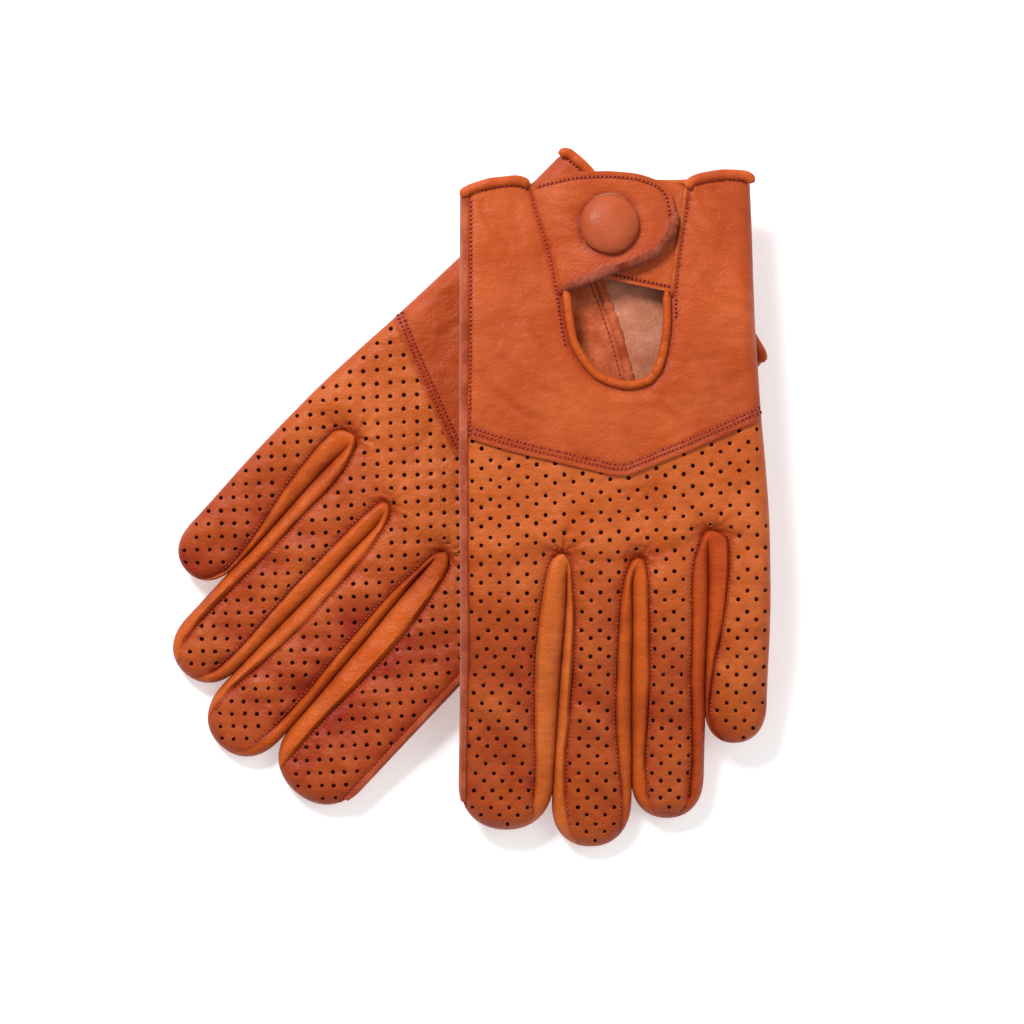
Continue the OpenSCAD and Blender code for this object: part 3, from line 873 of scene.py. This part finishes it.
def roll(glove, name, y, seam, fold, slots, arch):
    """A rolled strip, from under a finger's seam, up and over to the fold beside it."""
    keep = np.abs(fold - seam) > 0.12
    y, seam, fold = y[keep], seam[keep], fold[keep]
    u = np.sin(np.linspace(0, math.pi / 2, 10))
    u = np.concatenate([[0, 0.06], u[1:]])
    x = seam[:, None] + (fold - seam)[:, None] * u[None, :]
    yy = np.repeat(y[:, None], len(u), axis=1)
    width = np.abs(fold - seam)[:, None]
    top = glove.back(seam, y, plain=True)[:, None] - 0.25
    below = np.clip((arch - 2.6 - y[:, None]) / 8, 0, 1)
    middle = top - (top - (glove.base(y) + MIDDLE)[:, None]) * below * (2 - below)
    z = middle + (top - middle) * (1 - u[None, :]**2.6)**0.5
    wide = np.clip(width / 1.5, 0, 1)
    to_edge = glove.back(seam, y)[:, None] - 0.12 - top
    z = z + to_edge * bell(u[None, :] * width, 0.8) * (1 - u[None, :]**4)
    z += 0.14 * wobble(x * 0.4, yy, 2.2, glove.seed + 3) * (1 - u[None, :])
    z += 0.3 * wobble(x, yy, 13, glove.seed + 6) * wide
    # Painted shade where the strip turns down to its fold below the arch and in the groove by its seam; the
    # rest is patchy colour
    tone = 0.8 * u[None, :]**6 * below + 0.6 * bell(u[None, :] * width, 0.8) * wide
    tone = tone + 0.15 * wobble(x, yy, 9, glove.seed + 8) + 0.1 * wobble(x, yy, 3, glove.seed + 9)
    # An inward flange under the seam, painted darker as shade
    inward = np.sign(seam - fold)[:, None]
    x = np.hstack([x[:, :1] + 1.3 * inward, x])
    z = np.hstack([z[:, :1] - 0.9, z])
    yy, tone = yy[:, :1].repeat(len(u) + 1, axis=1), np.hstack([tone[:, :1] + 0.3, tone])
    faces = grid_faces(len(y), len(u) + 1)
    if fold.mean() < seam.mean():
        faces = faces[:, ::-1]
    points = (x.ravel(), yy.ravel(), z.ravel())
    return leather_shell(glove, name, points, faces, THIN_LEATHER, slots, tone.ravel())


def merged(name, pieces):
    """Several meshes as one object, with the first one's materials."""
    bpy.ops.object.select_all(action="DESELECT")
    for piece in pieces:
        piece.select_set(True)
    bpy.context.view_layer.objects.active = pieces[0]
    bpy.ops.object.join()
    pieces[0].name = name
    return pieces[0]


def finger_strips(glove, i, part, name):
    """A finger's strips at its root or on to its tip. The left glove's outer gaps have other leather."""
    pieces = []
    for g, right in ((i - 1, False), (i, True)):
        if 0 <= g < 3:
            gap = glove.gaps[g]
            low = glove.split_y[i]
            y = gap.heights(low, 26) - 0.02 if part == "root" else glove.down(i, low, 1.3)
            leather = (PALE, STRIP, DEEP)[g] if glove.side == "left" else STRIP
            pieces.append(roll(glove, f"{name}_{int(right)}", y, glove.seam_x(i, y, right),
                               glove.side_x(i, y, right), [leather, SUEDE], gap.top))
    return merged(name, pieces)


# ---- Side ridge, palm, thumb ----

# The ridge's section: how far out, how high, and how much painted shade darkens it, most on the sides that
# turn down and least on the crest
RIDGE_SECTION = [(0.0, -0.9, 0.85), (0.1, -0.1, 0.5), (0.28, 0.42, 0.1), (0.5, 0.45, 0.0), (0.7, 0.1, 0.15),
                 (0.86, -0.7, 0.5), (0.96, -1.7, 0.75), (1.0, -2.6, 0.85), (1.0, -3.4, 0.9)]


def ridge(glove, name, y):
    """The rolled seam along the index side, down to the middle of the glove's edge."""
    inner, outer = glove.seam_x(0, y, False), glove.side_x(0, y, False)
    keep = inner - outer > 0.12
    y, inner, outer = y[keep], inner[keep], outer[keep]
    top = glove.back(inner + 0.3, y, plain=True) + 0.35
    scale = np.clip((top - glove.base(y) - MIDDLE) / 3.4, 0.02, 2)
    lumps = 0.16 * wobble(y, y * 0, 4, glove.seed + 30)
    out, up, shade = np.array(RIDGE_SECTION).T
    x = inner[:, None] + (outer - inner)[:, None] * out
    z = (top + lumps)[:, None] + scale[:, None] * up
    tone = shade + 0.1 * wobble(y, y * 0, 3, glove.seed + 31)[:, None]
    points = (x.ravel(), np.repeat(y, len(out)), z.ravel())
    return leather_shell(glove, name, points, grid_faces(len(y), len(out)), THIN_LEATHER, [SMOOTH, SUEDE],
                         tone.ravel())


def palm_piece(glove, name, outline, spacing=3.0):
    xy, tris = triangulated(outline, (), spacing, 3.2, edge_rings(outline, (0.3, 1.1, 2.4)))
    folds = [beside(gap.fold, np.linspace(gap.top, -215, 40)) for gap in glove.gaps]
    x, y = xy.T
    z = glove.palm(x, y, nearest(xy, glove.rims + folds))
    tone = 0.15 + 0.15 * wobble(x, y, 14, glove.seed + 40)
    return leather_shell(glove, name, (x, y, z), tris[:, ::-1], LEATHER, [SMOOTH, LINING], tone)


def hand_palm_outline(glove):
    """The palm of the hand, from the cuff to the split of each finger."""
    parts = []
    for i, low in enumerate(glove.split_y):
        if i > 0:
            y = np.linspace(glove.gaps[i - 1].top - 0.6, low, 12)[:-1]
            parts.append(np.column_stack([glove.side_x(i, y, False), y]))
        parts.append(glove.across(i, glove.side_x))
        if i < 3:
            y = np.linspace(low, glove.gaps[i].top - 0.6, 12)[1:]
            parts.append(np.column_stack([glove.side_x(i, y, True), y]))
    parts.append(beside(glove.little_side, np.arange(glove.split_y[3] + 3, -4, 3.0)))
    parts.append(smooth_path(CUFF_EDGE, 3.0)[::-1])
    parts.append(beside(glove.index_side, np.arange(-10, glove.split_y[0] + 1.5, -3.0)))
    return np.vstack(parts)


def thumb_piece(glove, name):
    """The thumb's stall, a flat puffed sleeve with a round end, under the palm, and its stitches."""
    ahead = np.array([math.sin(THUMB_TUCK), -math.cos(THUMB_TUCK)])
    across = np.array([-ahead[1], ahead[0]])
    tip_r = THUMB_R - 1
    bend = np.linspace(0, math.pi / 2, 9)
    s = np.concatenate([-THUMB_R * np.cos(bend), np.linspace(2, THUMB_REACH - 2, 22),
                        THUMB_REACH + tip_r * np.sin(bend)])
    half = np.where(s < 0, np.sqrt(np.clip(THUMB_R**2 - s**2, 0, None)),
                    np.where(s > THUMB_REACH, np.sqrt(np.clip(tip_r**2 - (s - THUMB_REACH)**2, 0, None)),
                             THUMB_R - s / THUMB_REACH))
    half = np.maximum(half, 0.15)
    low, high = -ARCH + 0.05, -0.5
    middle = (low + high) / 2
    t = np.linspace(0, 2 * math.pi, 28, endpoint=False)
    w = np.sign(np.cos(t)) * np.abs(np.cos(t))**0.8 * half[:, None]
    z = middle + np.sign(np.sin(t)) * np.abs(np.sin(t))**0.7 * (
        (high - low) / 2 * np.minimum(1.0, (half / THUMB_R)**0.5))[:, None]
    z = z - 0.12 * (1 + wobble(w * 0.5 + s[:, None], w, 7, glove.seed + 50)) * np.sin(t)
    x, y = (THUMB_ROOT[k] + ahead[k] * s[:, None] + across[k] * w for k in (0, 1))
    points = np.column_stack([x.ravel(), y.ravel(), z.ravel()])
    # Painted shade along the sleeve's two sides, where it turns under
    tone = np.tile(0.5 * bell(np.sin(t), 0.25), len(s))
    faces = facing(glove, capped(len(s), len(t)))
    piece = build(name, glove.world(points), faces, [SMOOTH, SUEDE], tone=tone)
    keep = (s > -2) & (s < THUMB_REACH + THUMB_R - 4)
    edges = [np.array(THUMB_ROOT) + ahead * s[keep][:, None] + across * (sign * 0.97 * half[keep])[:, None]
             for sign in (-1, 1)]
    rows = [(path, lambda x, y: np.full(len(x), middle), 2.0) for path in edges]
    return piece, stitching(glove, f"{name}_stitches", rows)


# ---- Cuff, flap and snap ----

def yoke_outline(glove):
    """The yoke: cuff, notch for the snap's flap, keyhole, and the V at its lower edge."""
    def part(path, axis, low, high):
        return path[(path[:, axis] > low) & (path[:, axis] < high)]
    return np.vstack([
        part(smooth_path(HEM_LEFT, 2.0), 0, -50, -31), part(glove.panel_left, 1, -99, -2.4),
        glove.keyhole[1:-1], part(glove.panel_right, 1, -99, -3.0)[::-1],
        part(smooth_path(HEM_RIGHT, 2.0), 0, 25, 46), beside(glove.little_side, np.arange(-3, -80, -2.0)),
        glove.within(glove.v_edge[::-1], 0.2, 0.2),
        beside(glove.ridge_inner, np.arange(-88, -5, 2.0))])[::-1]


def yoke_piece(glove, name):
    outline = yoke_outline(glove)
    rings = edge_rings(outline, (0.5, 1.2, 1.9, 2.7, 3.6, 4.6), 0.35)
    xy, tris = triangulated(outline, (), 1.5, 4.8, rings)
    x, y = xy.T
    v = distance_to(xy, glove.v_edge)
    # Painted shade in the V seam's stitch grooves, the dip round the keyhole, the grooves beside the panels,
    # the creases, along the free edges where the leather turns down and in the dips of the wrinkles, with
    # painted highlight on their crests; also darker towards the V edge, and the rest is patchy colour
    tone = 0.4 * bell(v - 1.9, 0.6) + 0.4 * bell(v - 3.6, 0.6) + 0.16 * bell(v, 6)
    tone += 0.4 * bell(distance_to(xy, glove.keyhole), 1.8)
    for path in (glove.panel_left, glove.panel_right):
        tone += 0.45 * bell(distance_to(xy, path) - 2.0, 0.8)
    for path in glove.creases:
        tone += 0.1 * bell(distance_to(xy, path), 1.3)
    tone += 0.3 * np.exp(-glove.rim_distance(xy) / 2.0) - 0.14 * glove.wrinkles(x, y)
    tone += 0.17 + 0.14 * wobble(x, y, 18, glove.seed + 60)
    return leather_shell(glove, name, (x, y, glove.yoke(x, y)), tris, YOKE_LEATHER, [SMOOTH, LINING, RAW],
                         tone, rim_slot=2)


def raised(height, by):
    """A height function lifted by an amount."""
    return lambda x, y: height(x, y) + by


def flap_height(glove):
    """The flap's outer surface: it rises from its root seam, carries the dome and dips at its end."""
    root = glove.panel_left

    def height(x, y):
        x, y = np.asarray(x, float), np.asarray(y, float)
        xy = np.column_stack([x, y])
        away = distance_to(xy, root)
        rise = np.clip(away / 16, 0, 1)
        level = YOKE_TOP + 0.1 + (FLAP_TOP - YOKE_TOP - 0.1) * rise * rise * (3 - 2 * rise)
        level -= 1.1 * np.clip((x - 9) / 10, 0, 1)**2
        low = distance_to(xy, smooth_path(FLAP_LOW_EDGE, 1.5))
        level += 0.7 * bell(low, 2.2) * np.clip((x + 16) / 10, 0, 1)
        snap = np.hypot(x - SNAP_CENTRE[0], y - SNAP_CENTRE[1])
        rays = np.cos(6 * np.arctan2(x - SNAP_CENTRE[0], y - SNAP_CENTRE[1]) + glove.seed)
        level -= 0.5 * bell(snap - 10.5, 2.2) * (0.8 + 0.5 * rays)
        return glove.base(y) + level + 0.25 * wobble(x, y, 8, glove.seed + 70)
    return height


def flap_pieces(glove):
    """The flap, its rough suede lower edge, its border stitching and the covered dome."""
    side = glove.side
    height = flap_height(glove)
    top, low = smooth_path(FLAP_TOP_EDGE, 1.2), smooth_path(FLAP_LOW_EDGE, 1.2)
    root = glove.panel_left[(glove.panel_left[:, 1] < -2.0)][::-1] - [0.5, 0]
    outline = np.vstack([top, low[1:], root[1:-1]])[::-1]
    xy, tris = triangulated(outline, (), 1.7, 3.2, edge_rings(outline, (0.5, 1.2, 2.0, 3.0), 0.35))
    x, y = xy.T
    border = distance_to(xy, top)
    z = height(x, y) - 0.25 * bell(border - 1.8, 0.5)
    snap = np.hypot(x - SNAP_CENTRE[0], y - SNAP_CENTRE[1])
    # Painted shade in the ring dip round the dome and in the groove of the border stitching; darker towards
    # the lower edge; the rest is patchy colour
    tone = 0.45 * bell(snap - 10.4, 1.2) + 0.12 * (0.5 + 0.5 * wobble(x, y, 7, glove.seed + 71))
    tone += 0.25 * bell(border - 1.8, 0.5) + 0.16
    tone += 0.4 * np.exp(-distance_to(xy, low) / 3.0)
    flap = leather_shell(glove, f"{side}_flap_leather", (x, y, z), tris, YOKE_LEATHER, [SMOOTH, SUEDE],
                         tone, rim_slot=1)
    path = shifted(smooth_path(FLAP_LOW_EDGE, 0.6), 0.2)
    z = height(path[:, 0], path[:, 1]) - 0.15
    fuzz = 0.2 * wobble(path[:, 0] * 3, path[:, 1] * 3, 1.6, glove.seed + 72)
    radius = round_ends(len(path), 1.6, 10) * (1 + fuzz)
    edge = tube(glove, f"{side}_flap_suede_edge", np.column_stack([path, z]), radius, [NAP],
                14, 0.85)
    line = shifted(smooth_path(FLAP_TOP_EDGE + [(19.2, -14.0)], 1.0), -2.1)[2:]
    thread = stitching(glove, f"{side}_flap_stitches", [(line, raised(height, -0.1), STITCH)], 1.25)
    return flap, edge, thread, dome_piece(glove, f"{side}_snap_dome", height)


# From the dome's top to its underside: how far out, how high
DOME_PROFILE = [(0.0, 1.0), (0.12, 0.995), (0.26, 0.97), (0.4, 0.92), (0.54, 0.84), (0.67, 0.73),
                (0.79, 0.58), (0.89, 0.41), (0.96, 0.24), (1.0, 0.08), (0.985, -0.08), (0.93, -0.16),
                (0.8, -0.2)]


def dome_piece(glove, name, height):
    """The snap's dome under its leather cover, tucked in at the rim."""
    t = np.linspace(0, 2 * math.pi, 56, endpoint=False)
    cx, cy = SNAP_CENTRE
    seat = float(height([cx], [cy])[0]) + 0.15
    slope = -ARCH / CUFF_KNEE
    points, tone = [], []
    for r, h in DOME_PROFILE:
        rad = DOME_R * r * (1 + 0.006 * np.sin(5 * t + 1))
        x, y = cx + rad * np.cos(t), cy + rad * np.sin(t)
        z = seat + DOME_H * h + slope * (y - cy) + 0.05 * wobble(x, y, 4, glove.seed + 80)
        points.append(np.column_stack([x, y, z]))
        # Painted shade, darker from part way down the side to the rim and under it
        tone += [0.05 + 0.55 * max(0, (0.3 - h) / 0.5)] * len(t)
    faces = facing(glove, [tuple(f) for f in grid_faces(len(DOME_PROFILE), len(t), closed=True)])
    piece = build(name, glove.world(np.vstack(points)), faces, [DOME], tone=tone)
    return piece


def underlap_piece(glove, name):
    """The tab under the flap, which carries the stud."""
    low = smooth_path(UNDERLAP_LOW_EDGE, 1.2)
    right = glove.panel_right[::-1][1:]
    right = right[right[:, 1] < -2] + [0.6, 0]
    outline = np.vstack([low, right, [(14, -0.6), (4, -1.0), (-8, -3.0), (-12, -12), (-13, -24)]])
    xy, tris = triangulated(outline, (), 2.0, 2.6, edge_rings(outline, (0.6, 1.4, 2.2)))
    x, y = xy.T
    border = distance_to(xy, low)
    z = glove.base(y) + TOP + 0.15 + 0.2 * wobble(x, y, 9, glove.seed + 90) - 0.22 * bell(border - 1.7, 0.45)
    # Painted shade in the groove of its stitching, and patchy colour
    tone = 0.12 + 0.3 * bell(border - 1.7, 0.5) + 0.1 * wobble(x, y, 6, glove.seed + 91)
    return leather_shell(glove, name, (x, y, z), tris, LEATHER, [SMOOTH, SUEDE], tone, rim_slot=1)


def piping_piece(glove, name):
    """The rolled binding of the keyhole, finely wrinkled round its bend."""
    step = 0.5
    path = shifted(respace(smooth_path(KEYHOLE, step), step), 1.3)
    n = np.arange(len(path))
    x, y = path.T
    tuck = np.clip(1 - np.minimum(n, n[::-1]) / 5, 0, 1)
    z = glove.yoke(x, y) + 0.4 - 0.9 * tuck
    ribs = 0.035 * np.sin(n * step * 2 * math.pi / 1.25) * np.clip((n / len(n) - 0.35) * 5, 0, 1)
    radius = 1.48 * (1 + ribs + 0.03 * wobble(n, np.zeros(len(n)), 7, glove.seed + 95)) * (1 - 0.4 * tuck)
    # Painted shade in the binding's wrinkles, and patchy colour
    tone = 0.08 + 1.4 * np.abs(ribs) + 0.1 * wobble(x, y, 6, 3)
    return tube(glove, name, np.column_stack([x, y, z]), radius, [STRIP], 16, 0.92, tone)


def hem_pieces(glove):
    """The rolled hems of the cuff, on the back's two panels and along the palm."""
    pieces = []
    for tag, spec in (("index", HEM_LEFT), ("little", HEM_RIGHT)):
        x, y = respace(smooth_path(spec, 0.8), 0.8).T
        z = glove.yoke(np.clip(x, -48, 42), y) + 0.5 - 0.6 * np.clip((np.abs(x) - 47) / 6, 0, 1)
        waves = 0.08 * wobble(x, y, 4, glove.seed + 97)
        radius = round_ends(len(x), 1.75, 3) * (1 + waves)
        pieces.append(tube(glove, f"{glove.side}_hem_{tag}", np.column_stack([x, y, z]), radius, [SMOOTH],
                           14, 0.85, 0.05 + waves * 3))
    path = respace(smooth_path(CUFF_EDGE, 1.0), 1.0)[1:-1]
    z = glove.palm(path[:, 0], path[:, 1], glove.rim_distance(path)) + 1.4
    pieces.append(tube(glove, f"{glove.side}_hem_palm", np.column_stack([path, z]),
                       round_ends(len(path), 1.3, 3), [SMOOTH]))
    return merged(f"{glove.side}_cuff_hems_rolled", pieces)


def lining_pieces(glove):
    """What the keyhole shows: the palm's seam allowance and its paler flesh side beyond it."""
    side = glove.side
    seam = smooth_path([(-9.5, -28), (-5.2, -38), (-1.6, -48), (1.6, -58), (4.6, -70), (6.4, -80)], 1.0)

    def floor(x, y):
        return glove.base(y) + LEATHER + 0.12

    outline = np.vstack([seam, [(24, -84), (30, -60), (29, -30), (20, -18), (0, -18)]])
    xy, tris = triangulated(outline, (), 2.4, 1.0)
    x, y = xy.T
    z = floor(x, y) + 0.35 + 0.15 * wobble(x, y, 7, glove.seed + 33)
    pale = leather_shell(glove, f"{side}_palm_flesh_side", (x, y, z), tris, 0.4, [LIGHT_LINING])
    x, y = seam.T
    allowance = tube(glove, f"{side}_palm_seam_allowance", np.column_stack([x, y, floor(x, y) + 0.35]),
                     1.6 * (1 + 0.25 * wobble(x * 3, y * 2, 2.2, 7)), [LINING], 10, 0.7)
    thread = stitching(glove, f"{side}_palm_seam_stitches", [(shifted(seam, -3.0), floor, 1.7)], 0.6)
    return pale, allowance, thread


def yoke_stitches(glove):
    """Every row of stitching that holds the yoke."""
    lines = [glove.within(shifted(glove.v_edge, offset), 0.6, 0.8) for offset in (1.9, 3.6)]
    for panel, bend, by in ((glove.panel_left, glove.keyhole[2:19], -2.0),
                            (glove.panel_right, glove.keyhole[::-1][2:9], 2.0)):
        lines.append(shifted(respace(np.vstack([panel[panel[:, 1] < -6], bend]), 1.0), by))
    for spec, low, high in ((HEM_LEFT, -49, -31), (HEM_RIGHT, 26, 45)):
        hem = smooth_path(spec, 1.0)
        lines.append(shifted(hem[(hem[:, 0] > low) & (hem[:, 0] < high)], -1.9))
    rows = [(line, raised(glove.yoke, 0.04), STITCH) for line in lines]
    ridge_line = beside(glove.ridge_inner, np.linspace(-8, -88, 60)) + [1.0, 0]
    rows.append((ridge_line, raised(glove.yoke, 0.04), 1.5))
    return stitching(glove, f"{glove.side}_yoke_stitches", rows, 1.3)


def underlap_stitches(glove):
    low = shifted(smooth_path(UNDERLAP_LOW_EDGE, 1.0), 1.7)
    rows = [(low, lambda x, y: glove.base(y) + TOP + 0.2, STITCH)]
    return stitching(glove, f"{glove.side}_underlap_stitches", rows, 1.2)


def finger_stitches(glove, i, part):
    """Stitches along the edges of a finger's perforated back."""
    rows = []
    split = glove.split_y[i]
    for g, right, inset in ((i - 1, False, 0.55), (i, True, -0.55)):
        if g == 3:
            continue
        top = glove.gaps[g].top - 1.5 if g >= 0 else -106
        y = np.linspace(top, split + 0.6, 60)
        if part == "tip":
            y = np.linspace(split - 0.6, TIPS[i][1] + 9, 90)
        rows.append((np.column_stack([glove.seam_x(i, y, right) + inset, y]), glove.back, STITCH))
    return rows


# ---- Assembly of one glove ----

def build_glove(side):
    glove = Glove(side)
    body = f"{side}_glove"
    centres = hole_centres(glove)

    def ride_for(piece, node):
        """The piece rides on the hand, in place of a CAD node."""
        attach(piece, body)
        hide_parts(f"{side}_{node}")

    ride_for(back_piece(glove, f"{side}_back_leather", hand_back_outline(glove), centres), "back_panel")
    ride_for(yoke_piece(glove, f"{side}_yoke_leather"), "yoke")
    ride_for(palm_piece(glove, f"{side}_palm_leather", hand_palm_outline(glove)), "palm_panel")
    ride_for(ridge(glove, f"{side}_side_ridge", np.linspace(-4.5, glove.split_y[0], 110)), "side_seams")
    roots = [finger_strips(glove, i, "root", f"{side}_root_{i}") for i in range(4)]
    ride_for(merged(f"{side}_fourchette_rolls", roots), "fourchette_roots")
    ride_for(piping_piece(glove, f"{side}_keyhole_piping"), "piping")
    ride_for(hem_pieces(glove), "cuff_hems")
    ride_for(underlap_piece(glove, f"{side}_underlap_leather"), "underlap")
    for piece in lining_pieces(glove):
        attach(piece, body)
    ride_for(yoke_stitches(glove), "seam_stitching")
    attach(underlap_stitches(glove), body)
    rows = [row for i in range(4) for row in finger_stitches(glove, i, "root")]
    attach(stitching(glove, f"{side}_root_stitches", rows, FINGER_STITCH), body)

    flap, edge, thread, dome = flap_pieces(glove)
    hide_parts(f"{side}_flap")
    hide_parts(f"{side}_snap_cover")
    if side == "left":
        hinge = glove.place(-24, -20, FLAP_TOP)
        beyond = glove.place(-24 + 8 * 0.966, -20 + 8 * 0.26, FLAP_TOP)
        for piece in (flap, edge, thread):
            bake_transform(piece)
        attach(dome, "left_flap")
    else:
        for piece in (flap, edge, thread, dome):
            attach(piece, body)

    for i, finger in enumerate(FINGERS):
        moving = f"{side}_{finger}"
        loops = [finger_outline(glove, i, edge, glove.down(i, glove.split_y[i], step))
                 for edge, step in ((glove.seam_x, 1.4), (glove.side_x, 2.0))]
        pieces = [back_piece(glove, f"{moving}_back_leather", loops[0], centres),
                  palm_piece(glove, f"{moving}_palm_leather", loops[1], 2.6),
                  finger_strips(glove, i, "tip", f"{moving}_rolls")]
        for piece, node in zip(pieces, ("back", "palm", "fourchettes")):
            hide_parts(f"{moving}_{node}")
        rows = finger_stitches(glove, i, "tip")
        pieces.append(stitching(glove, f"{moving}_stitches", rows, FINGER_STITCH))
        if i == 0:
            pieces.append(ridge(glove, f"{moving}_side_ridge", glove.down(0, glove.split_y[0], 2.0)))
        y = FOLD_Y[i]
        level = glove.base(y) + TOP
        start, end = (tuple(glove.place(0, y + by, level)) for by in (FOLD_HALF, -FOLD_HALF))
        for piece in pieces:
            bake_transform(piece)

    thumb, thumb_thread = thumb_piece(glove, f"{side}_thumb_leather")
    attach(thumb, f"{side}_thumb")
    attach(thumb_thread, f"{side}_thumb")
    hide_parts(f"{side}_thumb_upper", f"{side}_thumb_lower")


for side in SIDES:
    build_glove(side)

# The snap's metal parts keep their CAD shape
for side in SIDES:
    for node in ("stud_rivet", "snap_stud", "snap_cap", "snap_socket"):
        metal = frame["nodes"][f"{side}_{node}"]
        metal.data.materials.clear()
        metal.data.materials.append(BRASS)

# ---- Stage, light and camera ----

floor_mesh = bpy.data.meshes.new("floor")
floor_mesh.from_pydata([(-3, -3, 0), (3, -3, 0), (3, 3, 0), (-3, 3, 0)], [], [(0, 1, 2, 3)])
floor_mesh.materials.append(floor_material())
floor = bpy.data.objects.new("floor", floor_mesh)
floor.location.z = -0.0002
bpy.context.collection.objects.link(floor)

world = bpy.data.worlds.new("studio")
bpy.context.scene.world = world
world.use_nodes = True
background = world.node_tree.nodes["Background"].inputs
background["Color"].default_value = (1, 1, 1, 1)
background["Strength"].default_value = 0.46


def soft_light(name, place, size, power):
    light = bpy.data.lights.new(name, "AREA")
    light.shape = "SQUARE"
    light.size = size
    light.energy = power
    obj = bpy.data.objects.new(name, light)
    obj.location = place
    obj.rotation_euler = (-Vector(place)).to_track_quat("-Z", "Y").to_euler()
    bpy.context.collection.objects.link(obj)


soft_light("key", (-0.6, 1.1, 1.35), 0.5, 35)
soft_light("fill", (1.1, 0.1, 1.4), 1.2, 7)

CAMERA_HEIGHT = 3.0
SEEN_WIDTH, BACK_LEVEL = 0.3533, 0.026    # what the picture spans at the level of the upper glove's back
camera_data = bpy.data.cameras.new("camera")
camera_data.sensor_width = 36
camera_data.lens = 36 * (CAMERA_HEIGHT - BACK_LEVEL) / SEEN_WIDTH
camera = bpy.data.objects.new("camera", camera_data)
camera.location = (0.0113, -0.0068, CAMERA_HEIGHT)
bpy.context.collection.objects.link(camera)
bpy.context.scene.camera = camera
bpy.context.scene.view_settings.view_transform = "Standard"
